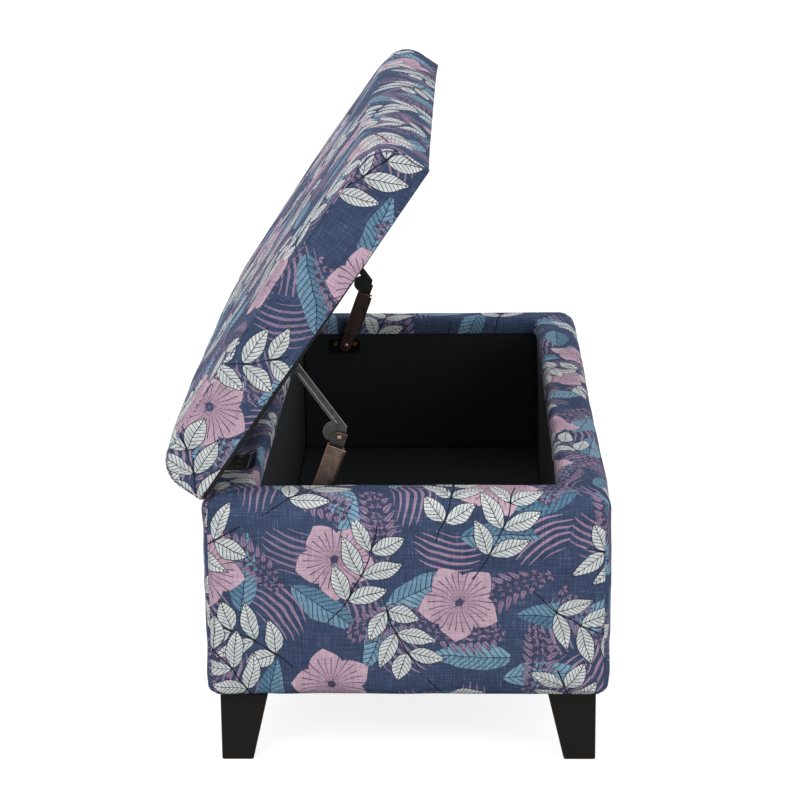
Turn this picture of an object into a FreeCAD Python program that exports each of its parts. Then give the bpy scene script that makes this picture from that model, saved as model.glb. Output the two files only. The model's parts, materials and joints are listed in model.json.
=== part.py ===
import FreeCAD, Part
import math
import os
import re
import Sketcher

V = FreeCAD.Vector

# A storage ottoman: a padded fabric box on four block legs, with a padded lid hinged along its back
# and held open by a folding stay at each end. X runs along the box, +Y is the hinged back, Z is up.
# The origin is on the floor, under the middle of the footprint with the lid open.

# Driving sizes in millimetres, angles in degrees
sizes = {
    # whole object
    "length": 1000, "depth": 482, "box_height": 250, "leg_height": 86, "frame_back": 20,
    # cloth, padding and boards of the box wall, from outside to inside
    "fabric": 1.2, "foam": 12, "panel": 5, "rail": 40, "lining": 2, "rim_foam": 12, "dust": 0.8,
    "rail_height": 40, "floor_rail_height": 30, "floor_board": 9, "floor_lining": 2,
    # rounding of the covered box, and the cloth turned under it
    "side_round": 18, "rim_round": 18, "hem_round": 15, "lip_round": 12, "hem": 30,
    # lid cushion
    "lid_gap": 0.3, "lid_inset": 4, "lid_waist": 3.5, "lid_corner": 38, "lid_bottom_round": 4,
    "lid_end_edge": 71.5, "lid_end_rise": 2, "lid_mid_edge": 75, "lid_mid_rise": 5,
    "lid_crown_power": 4, "lid_waist_power": 6,
    "lid_board": 12, "lid_board_inset": 8, "lid_hem": 22, "lid_open": 55.5,
    # legs
    "leg_top": 58, "leg_foot": 38, "leg_inset": 15, "leg_edge": 1.5,
    "bolt_radius": 4, "bolt_in_leg": 30, "bolt_clearance": 0.2,
    "tee_radius": 5.2, "tee_length": 12, "tee_plate": 1.5, "tee_plate_radius": 10,
    # hinges
    "hinge_from_end": 165, "hinge_length": 60, "hinge_in": 10.7, "hinge_drop": 2.5, "leaf": 1.6,
    "leaf_width": 30, "leaf_stand": 2.8, "knuckle": 2.5, "knuckle_middle": 28, "knuckle_gap": 0.5,
    "pin_radius": 1.25, "pin_clearance": 0.15, "pocket_gap": 0.6,
    "hinge_screw_in": 18, "hinge_screw_apart": 22,
    # countersunk wood screws
    "screw_radius": 1.8, "screw_head": 3.4, "screw_head_depth": 1.4, "screw_length": 16,
    "lid_screw_length": 13, "screw_clearance": 0.15,
    # lid stays: pivots measured from the hinge line towards the front and down
    "stay_base_front": 115, "stay_base_down": 39.5, "stay_lid_front": 172.4, "stay_lid_down": 3.6,
    "stay_low_link": 101, "stay_high_link": 98.1,
    "plate": 2, "plate_half_width": 23, "plate_half_height": 11, "plate_round": 5,
    "plate_screw_side": 15, "plate_screw_up": 3,
    "sleeve_start": 3, "sleeve_depth": 10, "sleeve_wall": 1.2, "sleeve_width": 20.5, "sleeve_foot": 22,
    "sleeve_head": 11, "sleeve_lug": 16, "sleeve_relief": 21, "sleeve_tab": 2.6, "sleeve_tab_height": 2.2,
    "tongue": 1.5, "tongue_width": 17.3, "tongue_top": 6.2, "tongue_round": 8, "tongue_inside": 60,
    "tongue_leaf": 3, "tongue_leaf_down": 3,
    "arm_start": 14.6, "arm": 2, "arm_width": 10.4, "arm_offset": 9.6, "arm_corner": 4.4, "arm_eye": 5.5,
    "arm_head": 12.4, "arm_head_up": 9.4, "arm_head_back": 1.9, "arm_boss": 7,
    "rib_height": 1, "rib_width": 1.6, "rib_in": 2, "rib_from": 15, "rib_short": 6,
    "ear_start": 17, "ear": 1.5, "ear_half_width": 4.8, "ear_flange": 28, "ear_flange_half": 25,
    "ear_screw_side": 16, "ear_screw_in": 16,
    "base_pin": 3, "base_dome": 5, "base_collar": 5.5, "lid_pin": 2.5, "lid_dome": 3.4,
    "elbow_pin": 2, "elbow_dome": 3.6, "elbow_collar": 5, "dome_height": 2.2, "rivet_gap": 0.25,
}

# Sizes worked out from the driving ones
derived = {
    "half_length": "length / 2",
    "half_depth": "depth / 2",
    "panel_x": "half_length - fabric - foam",
    "panel_y": "half_depth - fabric - foam",
    "rail_x": "panel_x - panel",
    "rail_y": "panel_y - panel",
    "room_x": "rail_x - rail - lining",
    "room_y": "rail_y - rail - lining",
    "cover_bottom": "leg_height + dust",
    "frame_bottom": "cover_bottom + fabric",
    "panel_bottom": "frame_bottom + hem_round",
    "board_bottom": "frame_bottom + floor_rail_height",
    "board_top": "board_bottom + floor_board",
    "rim_top": "cover_bottom + box_height",
    "rail_top": "rim_top - fabric - rim_foam",
    "rail_bottom": "rail_top - rail_height",
    "hinge_y": "half_depth - hinge_in",
    "hinge_z": "rim_top - hinge_drop",
    "lid_bottom": "rim_top + lid_gap",
    "lid_half_depth": "half_depth - lid_inset",
    "lid_board_bottom": "lid_bottom + fabric",
    "lid_board_top": "lid_board_bottom + lid_board",
    "leg_center_x": "half_length - leg_inset - leg_top / 2",
    "leg_center_y": "half_depth - leg_inset - leg_top / 2",
    "hinge_place": "half_length - hinge_from_end",
    "knuckle_half": "knuckle_middle / 2",
    "leaf_start": "hinge_y - knuckle - knuckle_gap",
    "ear_height": "stay_lid_down + lid_bottom - hinge_z",
    "sleeve_top": "stay_low_link - sleeve_head",
    "arm_reach": "sqrt(stay_high_link ^ 2 - arm_offset ^ 2)",
}

lid_stations = (1, 0.86, 0.5, 0)   # shares of the half length at which the lid's outline is drawn
touch = 0.01   # points closer than this are at the same place

doc = FreeCAD.newDocument("storage_ottoman")
sheet = doc.addObject("Spreadsheet::Sheet", "Sizes")
for row, (name, amount) in enumerate(list(sizes.items()) + list(derived.items()), start=1):
    sheet.set(f"A{row}", name)
    sheet.set(f"B{row}", str(amount) if name in sizes else f"={amount}")
    sheet.setAlias(f"B{row}", name)
doc.recompute()

nodes = []
sides = {"left": -1, "right": 1}


def cells(text):
    """An expression in size names, turned into one that reads the sheet."""
    return re.sub(r"[a-z][a-z_]*", lambda word: "Sizes." + word.group(0), str(text))


def value(text):
    return float(sheet.evalExpression(cells(text)))


def keep(item, name):
    """Mark an object as a finished piece."""
    item.Label = name
    nodes.append(item)
    return item


def block(name, x, y, z, local=False):
    """A box from start and end expressions; local boxes aren't moved to the shared origin."""
    item = doc.addObject("Part::Box", name)
    shift = "" if local else " - frame_back"
    for edge, (start, end) in zip(("Length", "Width", "Height"), (x, y, z)):
        item.setExpression(edge, cells(f"({end}) - ({start})"))
    for axis, start in zip("xyz", (x[0], y[0] + shift, z[0])):
        item.setExpression(f"Placement.Base.{axis}", cells(start))
    return item


def stick(name, point, along, reach, radius, tip=None, local=False):
    """A cylinder, or a cone where tip gives its far radius, from a point along an axis such as +x."""
    item = doc.addObject("Part::Cylinder" if tip is None else "Part::Cone", name)
    turn = {"+z": (V(1, 0, 0), 0), "-z": (V(1, 0, 0), 180),
            "+x": (V(0, 1, 0), 90), "-x": (V(0, 1, 0), -90)}
    item.Placement = FreeCAD.Placement(V(), FreeCAD.Rotation(*turn[along]))
    item.setExpression("Height", cells(reach))
    if tip is None:
        item.setExpression("Radius", cells(radius))
    else:
        item.setExpression("Radius1", cells(radius))
        item.setExpression("Radius2", cells(tip))
    shift = "" if local else " - frame_back"
    for axis, start in zip("xyz", (point[0], point[1] + shift, point[2])):
        item.setExpression(f"Placement.Base.{axis}", cells(start))
    return item


def group(name, pieces):
    item = doc.addObject("Part::Compound", name)
    item.Links = pieces
    return item


def fuse(name, pieces):
    item = doc.addObject("Part::MultiFuse", name)
    item.Shapes = pieces
    return item


def cut(name, base, tools):
    item = doc.addObject("Part::Cut", name)
    item.Base = base
    item.Tool = tools[0] if len(tools) == 1 else group(f"{name}_tools", tools)
    return item


def solid(name, shape):
    """A soft form made from faces worked out here, moved to the shared origin."""
    item = doc.addObject("Part::Feature", name)
    item.Shape = shape
    item.Placement = FreeCAD.Placement(V(0, -value("frame_back"), 0), FreeCAD.Rotation())
    return item


def plane_of(body, role):
    return [item for item in body.Origin.OriginFeatures if item.Role == role][0]


def bound(sketch, kind, geometry, place, amount):
    """One sketch dimension, tied to the sheet."""
    if kind == "Radius":
        rule = Sketcher.Constraint(kind, geometry, value(amount))
    else:
        rule = Sketcher.Constraint(kind, -1, 1, geometry, place, value(amount))
    sketch.setExpression(f"Constraints[{sketch.addConstraint(rule)}]", cells(amount))


def outline(sketch, corners):
    """A closed outline of straight edges through corners given as pairs of expressions."""
    points = [V(value(x), value(y), 0) for x, y in corners]
    count = len(points)
    edges = []
    for i in range(count):
        edges.append(sketch.addGeometry(Part.LineSegment(points[i], points[(i + 1) % count])))
    for i in range(count):
        sketch.addConstraint(Sketcher.Constraint("Coincident", edges[i], 2, edges[(i + 1) % count], 1))
    for edge, (x, y) in zip(edges, corners):
        bound(sketch, "DistanceX", edge, 1, x)
        bound(sketch, "DistanceY", edge, 1, y)


def circle(sketch, center, radius):
    ring = Part.Circle(V(value(center[0]), value(center[1]), 0), V(0, 0, 1), value(radius))
    edge = sketch.addGeometry(ring)
    bound(sketch, "DistanceX", edge, 3, center[0])
    bound(sketch, "DistanceY", edge, 3, center[1])
    bound(sketch, "Radius", edge, 3, radius)


def pad(body, name, start, thick, side, corners=None, rings=()):
    """Plate material on a stay piece, from start away from the end wall on either side of the box."""
    sketch = body.newObject("Sketcher::SketchObject", f"{name}_sketch")
    sketch.AttachmentSupport = (plane_of(body, "XY_Plane"), [""])
    sketch.MapMode = "FlatFace"
    sketch.setExpression("AttachmentOffset.Base.z", cells(f"{-side} * ({start})"))
    if corners:
        outline(sketch, corners)
    for center, radius in rings:
        circle(sketch, center, radius)
    feature = body.newObject("PartDesign::Pad", name)
    feature.Profile = sketch
    feature.setExpression("Length", cells(thick))
    feature.Reversed = side > 0
    doc.recompute()
    return feature


def layer(side, start, end):
    """A span measured away from the end wall, along the local axis of a stay."""
    return (start, end) if side < 0 else (f"-({end})", f"-({start})")


def screw(name, point, along, reach="screw_length"):
    """A countersunk wood screw whose head lies flush at the point."""
    head = stick(f"{name}_head", point, along, "screw_head_depth", "screw_head", "screw_radius")
    shank = stick(f"{name}_shank", point, along, reach, "screw_radius")
    return fuse(name, [head, shank])


def screw_hole(name, point, along, reach="screw_length"):
    head = stick(f"{name}_sink", point, along, "screw_head_depth",
                 "screw_head + screw_clearance", "screw_radius + screw_clearance")
    shank = stick(f"{name}_bore", point, along, f"{reach} + screw_clearance",
                  "screw_radius + screw_clearance")
    return fuse(name, [head, shank])


# Wooden frame

def make_frame():
    ends = ("-rail_x", "rail_x")
    between = ("-(rail_y - rail)", "rail_y - rail")
    floor_rails = []
    rows = {"front": ("-rail_y", "-(rail_y - rail)"), "back": ("rail_y - rail", "rail_y")}
    for front, (near, far) in rows.items():
        top = block(f"{front}_top_rail_wood", ends, (near, far), ("rail_bottom", "rail_top"))
        if front == "front":
            keep(top, "front_top_rail")
        else:
            keep(cut("back_rail_bored", top, hinge_box_holes), "back_top_rail")
        floor_rails.append(block(f"{front}_floor_rail", ends, (near, far), ("frame_bottom", "board_bottom")))
    for name, side in sides.items():
        span = ("-rail_x", "-(rail_x - rail)") if side < 0 else ("rail_x - rail", "rail_x")
        top = block(f"{name}_top_rail_wood", span, between, ("rail_bottom", "rail_top"))
        keep(cut(f"{name}_rail_bored", top, stay_base_holes[name]), f"{name}_top_rail")
        floor_rails.append(block(f"{name}_floor_rail", span, between, ("frame_bottom", "board_bottom")))
    bored = [cut(f"{rail.Name}_bored", rail, bolt_bores) for rail in floor_rails]
    keep(group("floor_rails_bored", bored), "floor_rails")
    posts = []
    for sign_x in ("-", ""):
        for sign_y in ("-", ""):
            x = sorted((f"{sign_x}rail_x", f"{sign_x}(rail_x - rail)"), key=value)
            y = sorted((f"{sign_y}rail_y", f"{sign_y}(rail_y - rail)"), key=value)
            posts.append(block("post", x, y, ("board_top", "rail_bottom")))
    keep(group("posts", posts), "corner_posts")
    keep(block("floor_panel", ends, ("-rail_y", "rail_y"), ("board_bottom", "board_top")), "floor_board")
    tall = ("panel_bottom", "rail_top")
    wide = ("-panel_x", "panel_x")
    deep = ("-rail_y", "rail_y")
    keep(block("front_panel_board", wide, ("-panel_y", "-rail_y"), tall), "front_panel")
    keep(block("back_panel_board", wide, ("rail_y", "panel_y"), tall), "back_panel")
    keep(block("left_panel_board", ("-panel_x", "-rail_x"), deep, tall), "left_end_panel")
    keep(block("right_panel_board", ("rail_x", "panel_x"), deep, tall), "right_end_panel")


# Lining of the storage room and the dust cover under it

def make_lining():
    inside = ("board_top", "rail_top")
    wall_x = ("-(room_x + lining)", "room_x + lining")
    front = block("front_lining_cloth", wall_x, ("-(room_y + lining)", "-room_y"), inside)
    back = block("back_lining_cloth", wall_x, ("room_y", "room_y + lining"), inside)
    keep(front, "front_lining")
    keep(back, "back_lining")
    for name, side in sides.items():
        span = ("-(room_x + lining)", "-room_x") if side < 0 else ("room_x", "room_x + lining")
        cloth = block(f"{name}_lining_cloth", span, ("-room_y", "room_y"), inside)
        keep(cut(f"{name}_lining_bored", cloth, stay_base_holes[name]), f"{name}_end_lining")
    keep(block("floor_cloth", ("-room_x", "room_x"), ("-room_y", "room_y"),
               ("board_top", "board_top + floor_lining")), "floor_lining")
    under = block("dust_cloth", ("-(half_length - hem_round)", "half_length - hem_round"),
                  ("-(half_depth - hem_round)", "half_depth - hem_round"), ("leg_height", "cover_bottom"))
    keep(cut("dust_cloth_bored", under, bolt_bores), "base_dust_cover")


# Padding and fabric of the box

def rounded_block(inset):
    """The box's outer form, drawn in by inset, with rounded sides, rim and hem."""
    half_x = value("half_length") - inset
    half_y = value("half_depth") - inset
    low = value("cover_bottom") + inset
    high = value("rim_top") - inset
    shape = Part.makeBox(2 * half_x, 2 * half_y, high - low, V(-half_x, -half_y, low))
    upright = [edge for edge in shape.Edges if abs(edge.Vertexes[0].Z - edge.Vertexes[1].Z) > touch]
    shape = shape.makeFillet(value("side_round") - inset, upright)
    for level, radius in ((high, "rim_round"), (low, "hem_round")):
        ring = [edge for edge in shape.Edges if all(abs(end.Z - level) < touch for end in edge.Vertexes)]
        shape = shape.makeFillet(value(radius) - inset, ring)
    return shape


def rim_opening(inset):
    """The room's mouth, whose top edge rolls outwards over the padded rim."""
    half_x = value("room_x") + inset
    half_y = value("room_y") + inset
    radius = value("lip_round") - inset
    low = value("cover_bottom")
    high = value("rim_top") - inset
    tool = Part.makeBox(2 * half_x, 2 * half_y, 2 * (high - low), V(-half_x, -half_y, low))
    flare = Part.makeBox(2 * (half_x + radius), 2 * (half_y + radius), high - low,
                         V(-half_x - radius, -half_y - radius, high - radius))
    for sign in (-1, 1):
        for half, other, axis in ((half_x, half_y, V(0, 1, 0)), (half_y, half_x, V(1, 0, 0))):
            across = V(axis.y, axis.x, 0)
            start = across * (sign * (half + radius)) - axis * (other + 2 * radius) + V(0, 0, high - radius)
            flare = flare.cut(Part.makeCylinder(radius, 2 * (other + 2 * radius), start, axis))
    return tool.fuse(flare)


def quarter(name):
    """The mitred quarter of the plan that holds one wall of the box."""
    far_x = value("half_length") * 2
    far_y = value("half_depth") * 2
    reach = far_x - value("half_length")
    ridge = value("half_length") - value("half_depth")
    out_y = value("half_depth") + reach
    corner = {"front": -1, "back": 1}.get(name)
    if corner:
        points = [V(-far_x, corner * out_y), V(far_x, corner * out_y), V(ridge, 0), V(-ridge, 0)]
    else:
        sign = sides[name]
        points = [V(sign * far_x, -out_y), V(sign * far_x, out_y), V(sign * ridge, 0)]
    face = Part.Face(Part.makePolygon(points + points[:1]))
    return face.extrude(V(0, 0, far_y * 2))


def make_soft_box():
    fabric = value("fabric")
    outer = rounded_block(0).cut(rim_opening(0))
    padded = rounded_block(fabric).cut(rim_opening(fabric))
    low = value("cover_bottom")
    level = value("rail_top")
    wide_x = value("half_length")
    wide_y = value("half_depth")

    def slab(half_x, half_y, bottom, top):
        return Part.makeBox(2 * half_x, 2 * half_y, top - bottom, V(-half_x, -half_y, bottom))

    core = slab(value("panel_x"), value("panel_y"), value("panel_bottom"), level)
    core = core.fuse(slab(value("rail_x"), value("rail_y"), low, value("panel_bottom")))
    lip = slab(value("room_x") + fabric, value("room_y") + fabric, low, level)
    hem_window = slab(wide_x - value("hem"), wide_y - value("hem"), low, value("frame_bottom"))
    skin = outer.cut(padded).cut(lip).cut(hem_window)
    below = padded.common(slab(wide_x, wide_y, low, level)).cut(core)
    above = padded.cut(slab(wide_x, wide_y, low, level))
    side_foam = []
    rim_foam = []
    for name in ("front", "back", "left", "right"):
        part = quarter(name)
        label = name if name in ("front", "back") else f"{name}_end"
        cover = solid(f"{label}_cover_cloth", skin.common(part).Solids[0])
        side_foam.append(solid(f"{name}_foam_pad", below.common(part).Solids[0]))
        rim = solid(f"{name}_rim_pad", above.common(part).Solids[0])
        if name == "back":
            cover = cut("back_cover_notched", cover, hinge_pockets)
            rim = cut("back_rim_notched", rim, hinge_pockets + hinge_box_holes)
        keep(cover, f"{label}_cover")
        rim_foam.append(rim)
    keep(group("side_padding", side_foam), "side_foam")
    keep(group("rim_padding", rim_foam), "rim_foam")


# Legs with their bolts

def make_legs():
    bolts = []
    tees = []
    for end, sign_x in sides.items():
        for front, sign_y in (("front", -1), ("back", 1)):
            name = f"{front}_{end}_leg"
            block_leg = doc.addObject("Part::Wedge", f"{name}_taper")
            half = "leg_top / 2"
            spans = {"Xmin": f"-{half}", "Xmax": half, "X2min": f"{half} - leg_foot", "X2max": half,
                     "Zmin": f"-{half}", "Zmax": half, "Z2min": f"{half} - leg_foot", "Z2max": half,
                     "Ymin": "0", "Ymax": "leg_height"}
            for corner, amount in spans.items():
                block_leg.setExpression(corner, cells(amount))
            doc.recompute()
            eased = doc.addObject("Part::Chamfer", f"{name}_eased")
            eased.Base = block_leg
            edge_size = value("leg_edge")
            eased.Edges = [(i + 1, edge_size, edge_size) for i in range(len(block_leg.Shape.Edges))]
            # the taper runs down from the top, with its two upright faces on the outer corner
            turn = FreeCAD.Rotation(V(1, 0, 0), -90)
            quarter_turns = {(1, 1): 0, (-1, 1): 90, (-1, -1): 180, (1, -1): 270}[(sign_x, sign_y)]
            eased.Placement = FreeCAD.Placement(
                V(sign_x * value("leg_center_x"), sign_y * value("leg_center_y") - value("frame_back"),
                  value("leg_height")),
                FreeCAD.Rotation(V(0, 0, 1), quarter_turns) * turn)
            keep(cut(f"{name}_bored", eased, bolt_bores), name)
            x = f"{sign_x} * leg_center_x"
            y = f"{sign_y} * leg_center_y"
            bolts.append(stick("leg_bolt", (x, y, "leg_height - bolt_in_leg"), "+z",
                               "board_bottom - tee_plate - leg_height + bolt_in_leg", "bolt_radius"))
            foot = (x, y, "board_bottom - tee_length")
            barrel = stick("tee_barrel", foot, "+z", "tee_length", "tee_radius")
            flange = stick("tee_flange", (x, y, "board_bottom - tee_plate"), "+z",
                           "tee_plate", "tee_plate_radius")
            bore = stick("tee_bore", foot, "+z", "tee_length - tee_plate", "bolt_radius + bolt_clearance")
            tees.append(cut("tee", fuse("tee_body", [barrel, flange]), [bore]))
    keep(group("bolts", bolts), "leg_bolts")
    keep(group("tees", tees), "leg_tee_nuts")


def make_bolt_bores():
    """One tool per leg that bores the leg, the dust cover and the floor rail for the bolt and its nut."""
    bores = []
    for sign_x in (-1, 1):
        for sign_y in (-1, 1):
            x = f"{sign_x} * leg_center_x"
            y = f"{sign_y} * leg_center_y"
            bore = stick("bolt_bore", (x, y, "leg_height - bolt_in_leg"), "+z",
                         "bolt_in_leg + board_bottom - leg_height", "bolt_radius + bolt_clearance")
            barrel = stick("tee_seat", (x, y, "board_bottom - tee_length"), "+z", "tee_length",
                           "tee_radius + bolt_clearance")
            flange = stick("tee_sink", (x, y, "board_bottom - tee_plate"), "+z", "tee_plate",
                           "tee_plate_radius + bolt_clearance")
            bores.append(fuse("leg_bore", [bore, barrel, flange]))
    return bores


# Butt hinges

def hinge_screw_places(sign):
    return [(f"{sign} * hinge_place + {step} * hinge_screw_apart", "leaf_start - hinge_screw_in")
            for step in (-1, 0, 1)]


def make_leaf(name, sign, upper):
    """One leaf of a hinge: the lower one carries the outer knuckles, the upper one the middle knuckle."""
    middle = f"{sign} * hinge_place"
    if upper:
        z = ("hinge_z + leaf_stand - leaf", "hinge_z + leaf_stand")
    else:
        z = ("hinge_z - leaf_stand", "hinge_z - leaf_stand + leaf")
    ends = (f"{middle} - hinge_length / 2", f"{middle} + hinge_length / 2")
    pieces = [block(f"{name}_flap", ends, ("leaf_start - leaf_width", "leaf_start"), z)]
    if upper:
        spans = [(f"{middle} - knuckle_half", f"{middle} + knuckle_half")]
    else:
        spans = [(ends[0], f"{middle} - knuckle_half - knuckle_gap"),
                 (f"{middle} + knuckle_half + knuckle_gap", ends[1])]
    for start, end in spans:
        pieces.append(block(f"{name}_tab", (start, end), ("leaf_start", "hinge_y"), z))
        pieces.append(stick(f"{name}_knuckle", (start, "hinge_y", "hinge_z"), "+x",
                            f"({end}) - ({start})", "knuckle"))
    eye = stick(f"{name}_eye", (ends[0], "hinge_y", "hinge_z"), "+x",
                "hinge_length", "pin_radius + pin_clearance")
    holes = lid_hinge_holes if upper else hinge_box_holes
    return cut(f"{name}_bored", fuse(f"{name}_body", pieces), [eye] + holes)


def make_hinges():
    pins = []
    box_screws = []
    lid_screws = []
    for end, sign in sides.items():
        keep(make_leaf(f"{end}_box_leaf", sign, False), f"{end}_hinge_box_leaf")
        lid_nodes.append(keep(make_leaf(f"{end}_lid_leaf", sign, True), f"{end}_hinge_lid_leaf"))
        start = (f"{sign} * hinge_place - hinge_length / 2", "hinge_y", "hinge_z")
        pins.append(stick("hinge_pin", start, "+x", "hinge_length", "pin_radius"))
        for x, y in hinge_screw_places(sign):
            box_screws.append(screw("box_screw", (x, y, "hinge_z - leaf_stand + leaf"), "-z"))
            lid_screws.append(screw("lid_screw", (x, y, "hinge_z + leaf_stand - leaf"), "+z",
                                    "lid_screw_length"))
    keep(group("pins", pins), "hinge_pins")
    keep(group("box_screws", box_screws), "hinge_box_screws")
    lid_nodes.append(keep(group("lid_screws", lid_screws), "hinge_lid_screws"))


def make_hinge_cuts():
    """Screw holes of both leaves, and the pockets that sink the lower leaves into the rim."""
    box_holes = []
    lid_holes = []
    pockets = []
    for sign in sides.values():
        for x, y in hinge_screw_places(sign):
            box_holes.append(screw_hole("box_hole", (x, y, "hinge_z - leaf_stand + leaf"), "-z"))
            lid_holes.append(screw_hole("lid_hole", (x, y, "hinge_z + leaf_stand - leaf"), "+z",
                                        "lid_screw_length"))
        half = "hinge_length / 2 + pocket_gap"
        middle = f"{sign} * hinge_place"
        pockets.append(block("pocket", (f"{middle} - ({half})", f"{middle} + {half}"),
                             ("leaf_start - leaf_width - pocket_gap", "hinge_y + knuckle + pocket_gap"),
                             ("hinge_z - leaf_stand", "lid_bottom")))
    return box_holes, lid_holes, pockets


# Lid cushion

def lid_section(place, inset):
    """The lid's outline across its depth, at a share of the way from its middle to its right end."""
    share = abs(place)
    crown = 1 - share ** value("lid_crown_power")
    waist = value("lid_waist") * (1 - share ** value("lid_waist_power"))
    half = value("lid_half_depth") - waist - inset
    low = value("lid_bottom") + inset
    edge_height = value("lid_end_edge") + crown * (value("lid_mid_edge") - value("lid_end_edge"))
    rise = value("lid_end_rise") + crown * (value("lid_mid_rise") - value("lid_end_rise"))
    high = value("lid_bottom") + edge_height - inset
    corner = value("lid_corner") - inset
    small = value("lid_bottom_round") - inset
    slant = math.sqrt(0.5)
    right = [
        Part.LineSegment(V(0, 0, low), V(0, half - small, low)),
        Part.Arc(V(0, half - small, low),
                 V(0, half - small + small * slant, low + small - small * slant),
                 V(0, half, low + small)),
        Part.LineSegment(V(0, half, low + small), V(0, half, high - corner)),
        Part.Arc(V(0, half, high - corner),
                 V(0, half - corner + corner * slant, high - corner + corner * slant),
                 V(0, half - corner, high)),
    ]
    shoulder = half - corner
    top_line = high + rise
    over = Part.Arc(V(0, shoulder, high), V(0, 0, top_line), V(0, -shoulder, high))
    mirror = FreeCAD.Matrix()
    mirror.scale(1, -1, 1)
    right_edges = [piece.toShape() for piece in right]
    left_edges = [edge.transformGeometry(mirror) for edge in reversed(right_edges)]
    edges = right_edges + [over.toShape()] + left_edges
    wire = Part.Wire(Part.__sortEdges__(edges))
    wire.translate(V(place * (value("half_length") - inset), 0, 0))
    return wire


def lid_form(inset):
    places = [-share for share in lid_stations] + list(reversed(lid_stations[:-1]))
    return Part.makeLoft([lid_section(place, inset) for place in places], True)


def make_lid():
    fabric = value("fabric")
    outer = lid_form(0)
    inner = lid_form(fabric)
    half_x = value("half_length")
    half_y = value("half_depth")
    low = value("lid_bottom")
    board_low = value("lid_board_bottom")
    hem = value("lid_hem")
    window = Part.makeBox(2 * (half_x - hem), 2 * (value("lid_half_depth") - hem), fabric,
                          V(hem - half_x, hem - value("lid_half_depth"), low))
    shell = outer.cut(inner).cut(window)
    tall = 2 * value("lid_mid_edge")
    middle = Part.makeBox(2 * (half_x - fabric), 2 * half_y, tall, V(fabric - half_x, -half_y, low))
    lid_nodes.append(keep(solid("lid_wrap", shell.common(middle).Solids[0]), "lid_cover"))
    caps = shell.cut(middle).Solids
    for name, side in sides.items():
        cap = [piece for piece in caps if piece.CenterOfMass.x * side > 0][0]
        lid_nodes.append(keep(solid(f"{name}_cap_cloth", cap), f"lid_{name}_end_cap"))
    board_x = half_x - value("lid_board_inset")
    board_y = value("lid_half_depth") - value("lid_board_inset")
    hollow = Part.makeBox(2 * board_x, 2 * board_y, value("lid_board"), V(-board_x, -board_y, board_low))
    lid_nodes.append(keep(solid("lid_padding", inner.cut(hollow)), "lid_foam"))
    inset_x = "half_length - lid_board_inset"
    inset_y = "lid_half_depth - lid_board_inset"
    board = block("lid_panel", (f"-({inset_x})", inset_x), (f"-({inset_y})", inset_y),
                  ("lid_board_bottom", "lid_board_top"))
    lid_nodes.append(keep(cut("lid_panel_bored", board, lid_hinge_holes + stay_lid_holes), "lid_board"))
    cloth_x = "half_length - lid_hem"
    cloth_y = "lid_half_depth - lid_hem"
    cloth = block("lid_under_cloth", (f"-({cloth_x})", cloth_x), (f"-({cloth_y})", cloth_y),
                  ("lid_bottom", "lid_board_bottom"))
    lid_nodes.append(keep(cut("lid_under_bored", cloth, lid_hinge_holes + stay_lid_holes), "lid_dust_cover"))


# Lid stays: a base plate on the end wall, a sleeve that swings on it, a tongue out of the sleeve's top,
# an arm with a round head behind the tongue, and a bracket under the lid. Each piece is drawn with x
# towards the back, y along the link and z away from the left end wall.

along_wall = FreeCAD.Rotation(V(1, 1, 1), 120)


def stay_angles():
    """Directions of the sleeve and of the arm's bar with the lid open, measured from the front, and the
    elbow's place, from the two link lengths. The bar runs from beside the elbow to the lid pivot."""
    swing = math.radians(value("lid_open"))
    base = V(value("stay_base_front"), -value("stay_base_down"))
    front = value("stay_lid_front")
    down = value("stay_lid_down")
    lid = V(front * math.cos(swing) + down * math.sin(swing),
            front * math.sin(swing) - down * math.cos(swing))
    span = lid - base
    low = value("stay_low_link")
    high = value("stay_high_link")
    bend = math.acos((low ** 2 + span.Length ** 2 - high ** 2) / (2 * low * span.Length))
    low_turn = math.atan2(span.y, span.x) - bend
    elbow = base + V(math.cos(low_turn), math.sin(low_turn)) * low
    high_turn = math.atan2(lid.y - elbow.y, lid.x - elbow.x) + math.asin(value("arm_offset") / high)
    return low_turn, high_turn, elbow


def stay_place(side, front, up, turn):
    """Where a stay piece sits: its own origin at a point in front of and above the hinge line."""
    place = V(side * value("room_x"), value("hinge_y") - front - value("frame_back"),
              value("hinge_z") + up)
    tilt = FreeCAD.Rotation(V(1, 0, 0), 90 - math.degrees(turn))
    return FreeCAD.Placement(place, tilt * along_wall)


def rivet(name, side, pieces):
    """Stacked round steps of one rivet, each as start, end and radius away from the end wall."""
    steps = []
    for start, end, radius, tip in pieces:
        if side > 0:
            start, end = f"-({start})", f"-({end})"
        toward = "+z" if value(end) > value(start) else "-z"
        reach = f"({end}) - ({start})" if toward == "+z" else f"({start}) - ({end})"
        steps.append(stick(f"{name}_step", ("0", "0", start), toward, reach, radius, tip, True))
    return fuse(name, steps)


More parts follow.
